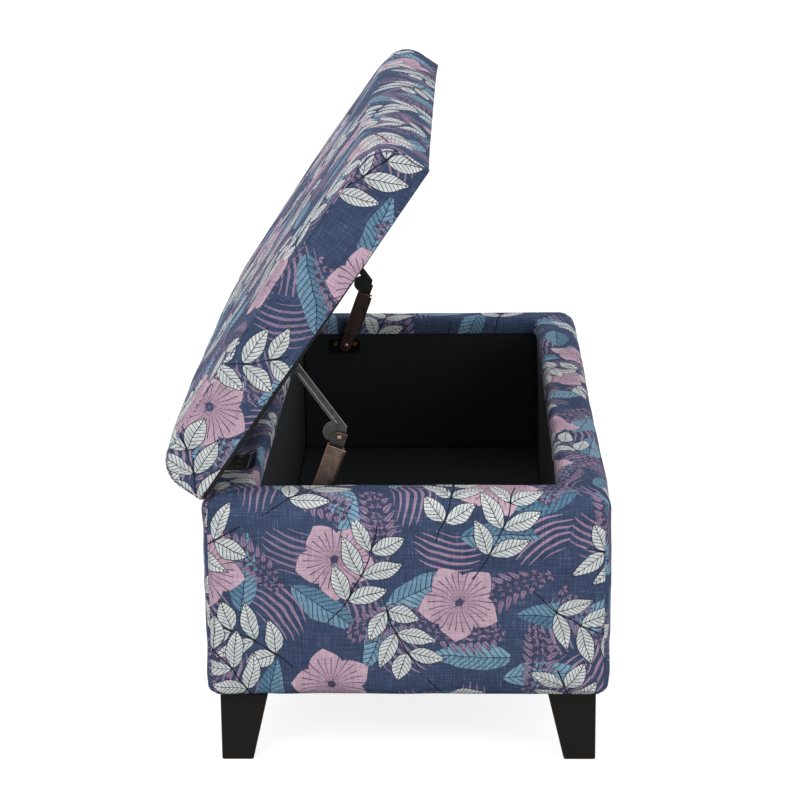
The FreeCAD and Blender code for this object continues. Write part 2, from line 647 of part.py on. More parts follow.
def make_stays():
    low_turn, high_turn, elbow = stay_angles()
    upright = math.pi / 2
    base_rivets = []
    lid_rivets = []
    base_screws = []
    lid_screws = []
    for name, side in sides.items():
        base_at = stay_place(side, value("stay_base_front"), -value("stay_base_down"), upright)
        low_at = stay_place(side, value("stay_base_front"), -value("stay_base_down"), low_turn)
        elbow_at = stay_place(side, elbow.x, elbow.y, low_turn)
        high_at = stay_place(side, elbow.x, elbow.y, high_turn)
        lid_at = stay_place(side, value("stay_lid_front"), -value("stay_lid_down"), upright)
        make_base_plate(name, side, base_at)
        make_sleeve(name, side, low_at)
        make_tongue(name, side, elbow_at)
        make_arm(name, side, high_at)
        make_lid_bracket(name, side, lid_at)
        pin = rivet(f"{name}_base_rivet", side, [
            ("plate", "sleeve_start - rivet_gap", "base_collar", None),
            ("plate", "sleeve_start + sleeve_wall + rivet_gap", "base_pin", None),
            ("sleeve_start + sleeve_wall + rivet_gap",
             "sleeve_start + sleeve_wall + rivet_gap + dome_height", "base_dome", "base_pin")])
        pin.Placement = base_at
        base_rivets.append(pin)
        pin = rivet(f"{name}_lid_rivet", side, [
            ("arm_start - rivet_gap", "arm_start - rivet_gap - dome_height", "lid_dome", "lid_pin"),
            ("arm_start - rivet_gap", "ear_start", "lid_pin", None)])
        pin.Placement = lid_at
        lid_rivets.append(pin)
        for spot in base_screw_places(side):
            base_screws.append(screw("base_screw", spot, "-x" if side < 0 else "+x"))
        for spot in lid_screw_places(side):
            lid_screws.append(screw("bracket_screw", spot, "+z", "lid_screw_length"))
    keep(group("base_rivets", base_rivets), "stay_base_rivets")
    keep(group("base_screws", base_screws), "stay_base_screws")
    lid_nodes.append(keep(group("lid_rivets", lid_rivets), "stay_lid_rivets"))
    lid_nodes.append(keep(group("bracket_screws", lid_screws), "stay_lid_screws"))


def base_screw_places(side):
    return [(f"{side} * (room_x - plate)", f"hinge_y - stay_base_front + {step} * plate_screw_side",
             "hinge_z - stay_base_down + plate_screw_up") for step in (-1, 1)]


def lid_screw_places(side):
    return [(f"{side} * (room_x - ear_start - ear_screw_in)",
             f"hinge_y - stay_lid_front + {step} * ear_screw_side", "lid_bottom - ear") for step in (-1, 1)]


def make_base_plate(name, side, place):
    body = doc.addObject("PartDesign::Body", f"{name}_base_plate")
    wide = "plate_half_width"
    tall = "plate_half_height"
    screws = [((f"{step} * plate_screw_side", "plate_screw_up"), "screw_head + screw_clearance")
              for step in (-1, 1)]
    feature = pad(body, f"{name}_plate", "0", "plate", side,
                  [(f"-{wide}", f"-{tall}"), (wide, f"-{tall}"), (wide, tall), (f"-{wide}", tall)], screws)
    corners = [f"Edge{i + 1}" for i, edge in enumerate(feature.Shape.Edges)
               if edge.Curve.TypeId == "Part::GeomLine" and abs(edge.tangentAt(edge.FirstParameter).z) > 0.5
               and len(edge.Vertexes) == 2 and abs(edge.CenterOfMass.x) > value(wide) - value("plate_round")]
    rounded = body.newObject("PartDesign::Fillet", f"{name}_plate_corners")
    rounded.Base = (feature, corners)
    rounded.setExpression("Radius", cells("plate_round"))
    body.Placement = place
    keep(body, f"{name}_stay_base_plate")


def make_sleeve(name, side, place):
    """A folded sheet channel, open to the front, with a flat lug down to the base pivot, its back wall cut
    away near the top and a small stop tab at the top of its front edge."""
    half = "sleeve_width / 2"
    wall = "sleeve_wall"
    z = layer(side, "sleeve_start", "sleeve_start + sleeve_depth")
    room = layer(side, "sleeve_start + sleeve_wall", "sleeve_start + sleeve_depth - sleeve_wall")
    lug = layer(side, "sleeve_start", "sleeve_start + sleeve_wall")
    long = ("sleeve_foot", "sleeve_top")
    tube = block(f"{name}_tube", (f"-{half}", half), long, z, True)
    tail = block(f"{name}_tail", ("-sleeve_lug / 2", "sleeve_lug / 2"), ("0", "sleeve_foot"), lug, True)
    round_end = stick(f"{name}_tail_end", ("0", "0", lug[0]), "+z", wall, "sleeve_lug / 2", None, True)
    tab = block(f"{name}_tab", (f"-({half} + sleeve_tab)", f"-{half}"),
                ("sleeve_top - sleeve_tab_height", "sleeve_top"), lug, True)
    hollow = block(f"{name}_hollow", (f"-{half}", f"{half} - {wall}"), long, room, True)
    relief = block(f"{name}_relief", (f"{half} - {wall}", half),
                   ("sleeve_top - sleeve_relief", "sleeve_top"), room, True)
    eye = stick(f"{name}_tail_eye", ("0", "0", lug[0]), "+z", wall, "base_pin + rivet_gap", None, True)
    body = fuse(f"{name}_sleeve_body", [tube, tail, round_end, tab])
    item = cut(f"{name}_sleeve_cut", body, [hollow, relief, eye])
    item.Placement = place
    keep(item, f"{name}_stay_sleeve")


def bore_through(body, name, center, radius):
    """A round hole through a stay plate."""
    hole = body.newObject("Sketcher::SketchObject", f"{name}_hole")
    hole.AttachmentSupport = (plane_of(body, "XY_Plane"), [""])
    hole.MapMode = "FlatFace"
    circle(hole, center, radius)
    pocket = body.newObject("PartDesign::Pocket", f"{name}_bore")
    pocket.Profile = hole
    pocket.Type = "ThroughAll"
    pocket.Midplane = True


def make_tongue(name, side, place):
    """A flat plate seated on the sleeve's inner wall: its head carries the elbow rivet above the sleeve,
    and its leaf inside the sleeve stands out a little through the open front."""
    half = "tongue_width / 2"
    body = doc.addObject("PartDesign::Body", f"{name}_tongue_body")
    foot = "-(sleeve_head + tongue_inside)"
    step = "-(sleeve_head + tongue_leaf_down)"
    front = "-(sleeve_width / 2 + tongue_leaf)"
    start = "sleeve_start + sleeve_depth - sleeve_wall - tongue"
    pad(body, f"{name}_tongue_flat", start, "tongue", side, [
        (front, foot), (half, foot), (half, "tongue_top - tongue_round"),
        (f"{half} - tongue_round", "tongue_top"), (f"-{half}", "tongue_top"),
        (f"-{half}", step), (front, step)])
    pad(body, f"{name}_tongue_corner", start, "tongue", side, None,
        [((f"{half} - tongue_round", "tongue_top - tongue_round"), "tongue_round")])
    bore_through(body, f"{name}_tongue", ("0", "0"), "elbow_pin + rivet_gap / 2")
    body.Placement = place
    keep(body, f"{name}_stay_tongue")
    tongue_end = "sleeve_start + sleeve_depth - sleeve_wall"
    pin = rivet(f"{name}_elbow_pin", side, [
        (start, f"{start} - dome_height", "elbow_dome", "elbow_pin"),
        (start, tongue_end, "elbow_pin", None),
        (tongue_end, "arm_start - rivet_gap", "elbow_collar", None)])
    pin.Placement = place
    keep(pin, f"{name}_stay_elbow_rivet")


def make_arm(name, side, place):
    """A straight bar set off towards the front, with a round head behind the elbow, a straight heel down to
    it, an eye on the lid pivot at its far end and a raised rib. Its y runs along the bar."""
    body = doc.addObject("PartDesign::Body", f"{name}_arm_body")
    front = "-(arm_offset + arm_width / 2)"
    back = "-(arm_offset - arm_width / 2)"
    end = "arm_reach"
    # the heel touches the boss where a 3-4-5 triangle meets its circle
    pad(body, f"{name}_arm_bar", "arm_start", "arm", side, [
        (front, "arm_corner"), ("-0.6 * arm_boss", "-0.8 * arm_boss"), ("arm_head_back", "arm_head_up"),
        (back, "arm_head_up + arm_head"), (back, end), (front, end)])
    rounds = {"head": (("arm_head_back", "arm_head_up"), "arm_head"), "boss": (("0", "0"), "arm_boss"),
              "eye": (("-arm_offset", end), "arm_eye")}
    for part, ring in rounds.items():
        pad(body, f"{name}_arm_{part}", "arm_start", "arm", side, None, [ring])
    rib = f"{back} - rib_in"
    pad(body, f"{name}_arm_rib", "arm_start - rib_height", "rib_height", side, [
        (f"{rib} - rib_width", "rib_from"), (rib, "rib_from"),
        (rib, f"{end} - rib_short"), (f"{rib} - rib_width", f"{end} - rib_short")])
    bore_through(body, f"{name}_arm", ("-arm_offset", end), "lid_pin + rivet_gap")
    body.Placement = place
    keep(body, f"{name}_stay_arm")


def make_lid_bracket(name, side, place):
    """An angle under the lid: an ear that takes the arm's pivot and a flange with two screws."""
    ear = layer(side, "ear_start", "ear_start + ear")
    flange = layer(side, "ear_start", "ear_start + ear_flange")
    upright = block(f"{name}_ear", ("-ear_half_width", "ear_half_width"), ("0", "ear_height"), ear, True)
    end = stick(f"{name}_ear_end", ("0", "0", ear[0]), "+z", "ear", "ear_half_width", None, True)
    seat = block(f"{name}_seat", ("-ear_flange_half", "ear_flange_half"),
                 ("ear_height - ear", "ear_height"), flange, True)
    angle = fuse(f"{name}_angle", [upright, end, seat])
    angle.Placement = place
    item = cut(f"{name}_angle_bored", angle, stay_lid_holes)
    lid_nodes.append(keep(item, f"{name}_stay_lid_bracket"))


lid_nodes = []
hinge_box_holes, lid_hinge_holes, hinge_pockets = make_hinge_cuts()
stay_base_holes = {}
stay_lid_holes = []
for name, side in sides.items():
    stay_base_holes[name] = [screw_hole("base_hole", spot, "-x" if side < 0 else "+x")
                             for spot in base_screw_places(side)]
    stay_lid_holes += [screw_hole("bracket_hole", spot, "+z", "lid_screw_length")
                       for spot in lid_screw_places(side)]
bolt_bores = make_bolt_bores()
make_frame()
make_lining()
make_soft_box()
make_legs()
make_hinges()
make_lid()
make_stays()

# The lid stands open: everything on it is swung back about the hinge line.
axis = V(0, value("hinge_y") - value("frame_back"), value("hinge_z"))
swing = FreeCAD.Placement(V(), FreeCAD.Rotation(V(1, 0, 0), -value("lid_open")), axis)
doc.recompute()
for item in lid_nodes:
    item.Placement = swing.multiply(item.Placement)
doc.recompute()

for item in doc.Objects:
    if "Invalid" in item.State or "Error" in item.State:
        raise RuntimeError(f"{item.Name} failed: {item.State}")
for item in nodes:
    if item.Shape.isNull() or not item.Shape.isValid() or not item.Shape.Solids:
        raise RuntimeError(f"{item.Label} has no sound shape")

os.makedirs("parts", exist_ok=True)
for item in nodes:
    item.Shape.exportStep(f"parts/{item.Label}.step")
    print(item.Label, len(item.Shape.Solids), round(item.Shape.Volume))
print(len(nodes), "pieces")
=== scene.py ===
import json
import math
import bpy
import numpy as np
from mathutils import Matrix, Vector


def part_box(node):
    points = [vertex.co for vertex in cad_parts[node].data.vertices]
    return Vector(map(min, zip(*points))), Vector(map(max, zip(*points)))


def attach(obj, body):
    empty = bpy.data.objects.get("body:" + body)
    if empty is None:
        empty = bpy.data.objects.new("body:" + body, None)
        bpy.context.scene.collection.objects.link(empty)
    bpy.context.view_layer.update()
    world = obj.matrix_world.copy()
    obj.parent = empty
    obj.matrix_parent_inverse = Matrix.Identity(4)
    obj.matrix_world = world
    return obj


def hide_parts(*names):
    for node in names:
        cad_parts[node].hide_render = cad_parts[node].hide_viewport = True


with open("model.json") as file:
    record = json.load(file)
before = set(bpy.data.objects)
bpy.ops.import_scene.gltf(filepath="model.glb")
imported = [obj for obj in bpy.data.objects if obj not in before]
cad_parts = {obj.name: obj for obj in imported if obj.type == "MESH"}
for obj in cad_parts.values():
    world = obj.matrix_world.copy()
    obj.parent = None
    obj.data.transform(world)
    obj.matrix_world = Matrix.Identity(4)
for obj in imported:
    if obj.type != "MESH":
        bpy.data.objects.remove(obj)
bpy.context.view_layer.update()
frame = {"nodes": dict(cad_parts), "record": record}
scene = bpy.context.scene
scene.view_settings.view_transform = "Standard"
print("frame loaded:", len(frame["nodes"]), "nodes")

# All sizes below are in millimetres and degrees. X runs along the box, +Y is the hinged back, Z is up.

photo = {   # the fitted camera: lens, sensor, place and three angles
    "lens": 107.24, "sensor": 36, "at": (-3164.3, -89.3, 1157.1), "down": 14.77, "turn": 1.60, "roll": 0.61,
}

down = math.radians(photo["down"])
turn = math.radians(photo["turn"])
roll = math.radians(photo["roll"])
ahead = Vector((math.cos(down) * math.cos(turn), math.cos(down) * math.sin(turn), -math.sin(down)))
flatRight = ahead.cross(Vector((0, 0, 1))).normalized()
flatUp = flatRight.cross(ahead)
right = flatRight * math.cos(roll) - flatUp * math.sin(roll)
up = right.cross(ahead)
cameraData = bpy.data.cameras.new("photo_camera")
cameraData.lens = photo["lens"]
cameraData.sensor_width = photo["sensor"]
cameraData.sensor_fit = "HORIZONTAL"
cameraData.clip_end = 100
camera = bpy.data.objects.new("photo_camera", cameraData)
facing = Matrix((right, up, -ahead)).transposed().to_4x4()
camera.matrix_world = Matrix.Translation(Vector(photo["at"]) / 1000) @ facing
scene.collection.objects.link(camera)
scene.camera = camera
print("camera placed")


# Small helpers for arrays and meshes

def ease(amount, start, end):   # smooth step from 0 at start to 1 at end
    share = np.clip((amount - start) / (end - start), 0, 1)
    return share * share * (3 - 2 * share)


def run(start, end, count):   # straight stretch of a profile
    return np.linspace(start, end, count)


def arc(centre, radius, start, end, count):   # round stretch of a profile, angles in degrees
    angles = np.radians(np.linspace(start, end, count))
    return np.array(centre) + radius * np.stack([np.cos(angles), np.sin(angles)], -1)


def chain(*stretches):   # one profile from stretches that share their ends
    return np.concatenate([stretches[0]] + [stretch[1:] for stretch in stretches[1:]])


def lengthsAlong(points):   # distance along a row of points
    steps = np.linalg.norm(np.diff(points, axis=0), axis=-1)
    return np.concatenate([np.zeros_like(steps[:1]), np.cumsum(steps, axis=0)])


def wavy(u, v, size, seed):   # unevenness of padded cloth: three crossed waves, about -1 to 1, sizes in mm
    k = 2 * math.pi / size
    first = np.sin(k * (u + 0.4 * v) + seed)
    second = np.sin(k * (0.7 * v - 0.5 * u) * 1.31 + 2.1 * seed)
    third = np.sin(k * (0.9 * u + 1.1 * v) * 0.57 + 3.7 * seed)
    return (first + second + third) / 3


def quadsOf(index):   # a grid of point numbers to faces of four
    return np.stack([index[:-1, :-1], index[:-1, 1:], index[1:, 1:], index[1:, :-1]], axis=-1).reshape(-1, 4)


def gridPiece(name, points, uv, body, material):   # rows by columns of points to a mesh of quads
    rows, columns = points.shape[:2]
    index = np.arange(rows * columns).reshape(rows, columns)
    flatUv = None if uv is None else uv.reshape(-1, 2)
    return meshPiece(name, points.reshape(-1, 3), quadsOf(index), flatUv, body, material)


def meshPiece(name, points, quads, uv, body, material):   # a new piece that rides on a body
    mesh = bpy.data.meshes.new(name)
    mesh.vertices.add(len(points))
    mesh.vertices.foreach_set("co", (points / 1000).astype(np.float32).ravel())
    mesh.loops.add(quads.size)
    mesh.loops.foreach_set("vertex_index", quads.astype(np.int32).ravel())
    mesh.polygons.add(len(quads))
    mesh.polygons.foreach_set("loop_start", np.arange(0, quads.size, quads.shape[1], dtype=np.int32))
    mesh.update(calc_edges=True)
    mesh.polygons.foreach_set("use_smooth", np.ones(len(quads), dtype=bool))
    if uv is not None:
        layer = mesh.uv_layers.new(name="cloth")
        layer.data.foreach_set("uv", (uv[quads.ravel()] / 1000).astype(np.float32).ravel())
    mesh.materials.append(material)
    piece = bpy.data.objects.new(name, mesh)
    scene.collection.objects.link(piece)
    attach(piece, body)
    return piece


clothRun = {"steps": 20, "quality": 5, "mass": 0.4, "bending": 1.5}   # what all the swelled cloths share


def swell(piece, shape, air):
    # padded cloth: pressure from below with all four borders held and the movement capped; under a shut lid,
    # heights above the knee are eased to the ceiling by tanh
    rows, columns = shape
    index = np.arange(rows * columns).reshape(rows, columns)
    border = np.concatenate([index[:air["heldRows"]].ravel(), index[-2:].ravel(), index[:, :2].ravel(),
                             index[:, -2:].ravel()])
    held = piece.vertex_groups.new(name="seams")
    held.add(np.unique(border).tolist(), 1.0, "REPLACE")
    cloth = piece.modifiers.new("cloth", "CLOTH")
    settings = cloth.settings
    settings.vertex_group_mass = "seams"
    settings.quality = clothRun["quality"]
    settings.mass = clothRun["mass"]
    settings.tension_stiffness = air["stiff"]
    settings.compression_stiffness = air["stiff"]
    settings.shear_stiffness = air["stiff"] / 3
    settings.bending_stiffness = clothRun["bending"]
    settings.use_pressure = True
    settings.uniform_pressure_force = air["pressure"]
    settings.effector_weights.gravity = 0
    cloth.collision_settings.use_collision = False
    for step in range(1, clothRun["steps"] + 1):
        scene.frame_set(step)
    before = np.empty(len(piece.data.vertices) * 3, dtype=np.float32)
    after = np.empty_like(before)
    piece.data.vertices.foreach_get("co", before)
    result = piece.evaluated_get(bpy.context.evaluated_depsgraph_get()).to_mesh()
    result.vertices.foreach_get("co", after)
    move = (after - before).reshape(-1, 3)
    size = np.linalg.norm(move, axis=1, keepdims=True)
    move *= np.minimum(1, air["cap"] / 1000 / np.maximum(size, 1e-9))
    moved = before.reshape(-1, 3) + move
    if "ceiling" in air:
        knee = air["knee"] / 1000
        over = moved[:, 2] - (air["ceiling"] / 1000 - knee)
        moved[:, 2] += np.where(over > 0, knee * np.tanh(over / knee) - over, 0)
    piece.data.vertices.foreach_set("co", moved.ravel())
    piece.modifiers.remove(cloth)
    piece.vertex_groups.remove(held)
    scene.frame_set(1)
    print("swelled", piece.name, "most", round(float(size.max()) * 1000, 1), "mm")


def clothFinish(piece, thick):   # finer mesh, then the cloth's own thickness towards its back
    smoother = piece.modifiers.new("finer", "SUBSURF")
    smoother.levels = 1
    smoother.render_levels = 1
    smoother.boundary_smooth = "PRESERVE_CORNERS"
    wall = piece.modifiers.new("thickness", "SOLIDIFY")
    wall.thickness = thick / 1000
    wall.offset = -1


# Colours and nodes

def tint(code):   # sRGB hex to linear
    parts = [int(code[i:i + 2], 16) / 255 for i in (1, 3, 5)]
    return tuple(p / 12.92 if p <= 0.04045 else ((p + 0.055) / 1.055) ** 2.4 for p in parts) + (1.0,)


def add(tree, kind, feeds=None, out=0, **settings):   # one node: its settings, then values or links
    node = tree.nodes.new("ShaderNode" + kind)
    for key, setting in settings.items():
        setattr(node, key, setting)
    for socket, feed in (feeds or {}).items():
        if isinstance(feed, bpy.types.NodeSocket):
            tree.links.new(feed, node.inputs[socket])
        else:
            node.inputs[socket].default_value = feed
    return node.outputs[out] if len(node.outputs) else None


def startMaterial(name):
    material = bpy.data.materials.new(name)
    material.use_nodes = True
    material.node_tree.nodes.clear()
    return material, material.node_tree


def work(tree, field, sums):   # a motif's sums in order, each a name, an operation and what goes into it
    for name, operation, *terms in sums:
        feeds = {place: field.get(term, term) for place, term in enumerate(terms)}
        field[name] = add(tree, "Math", feeds, operation=operation)
    return field


# Print of the cloth: scattered sprigs, leaves, blossoms and grass, each drawn by sums on its own x and y in
# mm. Each motif has a cell of a turned and shifted grid; loose is how far it strays and spread how far it
# turns. Here turn and spread are in radians.

linen = {
    "ground": "#4c5a79", "groundDeep": "#36435f", "ink": "#21252f", "white": "#e9ecea",
    "whiteShade": "#cfd5d8", "pink": "#d2b3c3", "pinkDeep": "#b496aa", "blue": "#87abc2",
    "blueDeep": "#5c8099", "mauve": "#8c7c97", "mauveDeep": "#4a4a66", "rose": "#a98ca4",
    "bareThread": "#8d9bb8", "slub": 1.9, "slubLong": 26, "wander": 38, "wanderBy": 9.0, "patch": 90,
}
sprig = {
    "cell": 176, "turn": 0.5, "shift": 0.31, "loose": 0.42, "spread": 5.2, "bend": 0.0022, "pitch": 33,
    "slant": 46, "long": 57, "wide": 11.0, "reach": 58, "shorter": 0.35, "hatch": 5.4, "outline": 0.9,
    "plump": 0.85, "rib": 0.45, "veinLean": 0.9, "veinCut": 0.86, "stem": 0.8, "stemPast": 12,
}
spray = dict(sprig, cell=214, turn=1.3, shift=13.7, spread=6.2, pitch=30, long=52, slant=50, reach=44)
frond = dict(sprig, cell=118, turn=-0.4, shift=2.7, loose=0.6, spread=6.2, bend=0.0035, pitch=10, slant=52,
             long=30, wide=3.6, reach=50, shorter=0.6, hatch=30, outline=0.5)
leaf = {
    "cell": 104, "turn": 0.9, "shift": 5.3, "loose": 0.7, "spread": 6.2, "long": 50, "wide": 17,
    "plump": 0.8, "slim": 0.3, "rib": 7.5, "ribLean": 0.9, "ribCut": 0.84, "middle": 0.6, "halfTone": 0.5,
}
blossom = {
    "cell": 190, "turn": -0.2, "shift": 8.9, "loose": 0.5, "spread": 6.2, "petals": 5, "reach": 50,
    "wide": 21, "plump": 1.25, "outline": 0.7, "hatch": 13, "veinCut": 0.9, "veinLong": 0.72, "eye": 5.0,
}
grass = {
    "cell": 88, "turn": 0.2, "shift": 4.4, "loose": 0.8, "spread": 6.2, "blade": 8.5, "long": 46, "wide": 30,
    "bend": 0.006, "thin": 0.15,
}


def scatter(tree, flat, spots):   # own x and y of the nearest scattered point, in mm, turned by chance
    size = 1 / spots["cell"]
    moved = add(tree, "Mapping", {"Vector": flat, "Location": (spots["shift"], -0.7 * spots["shift"], 0),
                                  "Rotation": (0, 0, spots["turn"]), "Scale": (size, size, size)})
    nearest = {"Vector": moved, "Scale": 1.0, "Randomness": spots["loose"]}
    point = add(tree, "TexVoronoi", nearest, "Position", voronoi_dimensions="2D")
    away = add(tree, "VectorMath", {0: moved, 1: point}, operation="SUBTRACT")
    chance = add(tree, "SeparateColor", {"Color": point.node.outputs["Color"]}).node
    angle = add(tree, "Math", {0: chance.outputs[0], 1: spots["spread"]}, operation="MULTIPLY")
    turned = add(tree, "VectorRotate", {"Vector": away, "Angle": angle}, rotation_type="Z_AXIS")
    real = add(tree, "VectorMath", {0: turned, "Scale": spots["cell"]}, operation="SCALE")
    axes = add(tree, "SeparateXYZ", {0: real}).node
    return {"x": axes.outputs[0], "y": axes.outputs[1], "tone": chance.outputs[1]}


def lobeSums(p, long):   # a leaflet or petal: |off| < wide * sin(pi * share^plump), share of its length
    return [
        ("share", "DIVIDE", "along", long), ("share", "MAXIMUM", "share", 0.0),
        ("share", "MINIMUM", "share", 1.0), ("half", "POWER", "share", p["plump"]),
        ("half", "MULTIPLY", "half", math.pi), ("half", "SINE", "half"),
        ("half", "MULTIPLY", "half", p["wide"]), ("edge", "SUBTRACT", "half", "off"),
        ("inside", "GREATER_THAN", "edge", 0.0), ("rim", "LESS_THAN", "edge", p["outline"]),
    ]


def sprigSums(p):   # bent stem with pairs of leaflets, each off its own rib
    lean = math.radians(p["slant"])
    return [
        ("bow", "MULTIPLY", "x", "x"), ("y", "MULTIPLY_ADD", "bow", p["bend"], "y"),
        ("side", "ABSOLUTE", "y"), ("root", "MULTIPLY_ADD", "side", -1 / math.tan(lean), "x"),
        ("nth", "DIVIDE", "root", p["pitch"]), ("nth", "ROUND", "nth"),
        ("joint", "MULTIPLY", "nth", p["pitch"]), ("past", "SUBTRACT", "x", "joint"),
        ("past", "MULTIPLY", "past", math.cos(lean)),
        ("along", "MULTIPLY_ADD", "side", math.sin(lean), "past"), ("off", "SUBTRACT", "root", "joint"),
        ("off", "MULTIPLY", "off", math.sin(lean)), ("off", "ABSOLUTE", "off"),
        ("end", "DIVIDE", "joint", p["reach"]), ("end", "MULTIPLY", "end", "end"),
        ("long", "MULTIPLY_ADD", "end", -p["shorter"] * p["long"], p["long"]), *lobeSums(p, "long"),
        ("near", "ABSOLUTE", "joint"), ("near", "LESS_THAN", "near", p["reach"] + 0.1),
        ("inside", "MULTIPLY", "inside", "near"), ("rib", "LESS_THAN", "off", p["rib"]),
        ("vein", "MULTIPLY_ADD", "off", -p["veinLean"], "along"),
        ("vein", "MULTIPLY", "vein", 2 * math.pi / p["hatch"]), ("vein", "SINE", "vein"),
        ("vein", "GREATER_THAN", "vein", p["veinCut"]), ("line", "MAXIMUM", "rim", "rib"),
        ("line", "MAXIMUM", "line", "vein"), ("line", "MULTIPLY", "line", "inside"),
        ("stem", "LESS_THAN", "side", p["stem"]), ("bare", "ABSOLUTE", "x"),
        ("bare", "LESS_THAN", "bare", p["reach"] + p["stemPast"]), ("stem", "MULTIPLY", "stem", "bare"),
        ("line", "MAXIMUM", "line", "stem"), ("tone", "MULTIPLY", "share", 0.8),
    ]


def leafSums(p):   # one broad leaf: |y| < wide * (1 - (x/long)^2)^plump, with slanting ribs
    return [
        ("share", "DIVIDE", "x", p["long"]), ("full", "MULTIPLY", "share", "share"),
        ("full", "SUBTRACT", 1.0, "full"), ("full", "MAXIMUM", "full", 0.0),
        ("full", "POWER", "full", p["plump"]), ("slim", "MULTIPLY_ADD", "share", -p["slim"], 1.0),
        ("half", "MULTIPLY", "full", "slim"), ("half", "MULTIPLY", "half", p["wide"]),
        ("side", "ABSOLUTE", "y"), ("edge", "SUBTRACT", "half", "side"),
        ("inside", "GREATER_THAN", "edge", 0.0), ("rib", "MULTIPLY_ADD", "side", -p["ribLean"], "x"),
        ("rib", "MULTIPLY", "rib", 2 * math.pi / p["rib"]), ("rib", "SINE", "rib"),
        ("rib", "GREATER_THAN", "rib", p["ribCut"]), ("middle", "LESS_THAN", "side", p["middle"]),
        ("line", "MAXIMUM", "rib", "middle"), ("line", "MULTIPLY", "line", "inside"),
        ("upper", "GREATER_THAN", "y", 0.0), ("tone", "MULTIPLY_ADD", "upper", p["halfTone"], "tone"),
        ("tone", "MINIMUM", "tone", 1.0),
    ]


def blossomSums(p):   # the angle is folded into one petal
    step = 2 * math.pi / p["petals"]
    return [
        ("far", "MULTIPLY", "x", "x"), ("far", "MULTIPLY_ADD", "y", "y", "far"), ("far", "SQRT", "far"),
        ("turn", "ARCTAN2", "y", "x"), ("nth", "DIVIDE", "turn", step), ("nth", "ROUND", "nth"),
        ("turn", "MULTIPLY_ADD", "nth", -step, "turn"), ("along", "COSINE", "turn"),
        ("along", "MULTIPLY", "along", "far"), ("off", "SINE", "turn"),
        ("off", "MULTIPLY", "off", "far"), ("off", "ABSOLUTE", "off"), *lobeSums(p, p["reach"]),
        ("vein", "MULTIPLY", "turn", p["hatch"] * 2), ("vein", "COSINE", "vein"),
        ("vein", "GREATER_THAN", "vein", p["veinCut"]), ("long", "LESS_THAN", "share", p["veinLong"]),
        ("vein", "MULTIPLY", "vein", "long"), ("line", "MAXIMUM", "rim", "vein"),
        ("eye", "LESS_THAN", "far", p["eye"]), ("line", "MAXIMUM", "line", "eye"),
        ("line", "MULTIPLY", "line", "inside"), ("tone", "SUBTRACT", 1.0, "share"),
    ]


def grassSums(p):   # bent blades: stripes across y + bend * x^2 that thin out towards an oval's edge
    return [
        ("bow", "MULTIPLY", "x", "x"), ("lane", "MULTIPLY_ADD", "bow", p["bend"], "y"),
        ("wave", "MULTIPLY", "lane", 2 * math.pi / p["blade"]), ("wave", "COSINE", "wave"),
        ("u", "DIVIDE", "x", p["long"]), ("v", "DIVIDE", "lane", p["wide"]),
        ("u", "MULTIPLY", "u", "u"), ("fade", "MULTIPLY_ADD", "v", "v", "u"),
        ("least", "ADD", "fade", p["thin"]), ("inside", "GREATER_THAN", "wave", "least"),
        ("line", "MULTIPLY", "inside", 0.0),
    ]


def stamp(tree, under, flat, spots, sums, first, second, ink):   # one kind of motif over what is there
    field = work(tree, scatter(tree, flat, spots), sums(spots))
    body = add(tree, "Mix", {0: field["tone"], 6: first, 7: second}, 2, data_type="RGBA")
    laid = add(tree, "Mix", {0: field["inside"], 6: under, 7: body}, 2, data_type="RGBA")
    return add(tree, "Mix", {0: field["line"], 6: laid, 7: ink}, 2, data_type="RGBA")


printOrder = [   # motif, its sums, its two colours and the colour of its lines; the last lies on top
    (grass, grassSums, "mauve", "rose", "ink"),
    (leaf, leafSums, "blueDeep", "blue", "groundDeep"),
    (frond, sprigSums, "mauve", "rose", "mauveDeep"),
    (blossom, blossomSums, "pink", "pinkDeep", "mauveDeep"),
    (spray, sprigSums, "whiteShade", "white", "ink"),
    (sprig, sprigSums, "whiteShade", "white", "ink"),
]


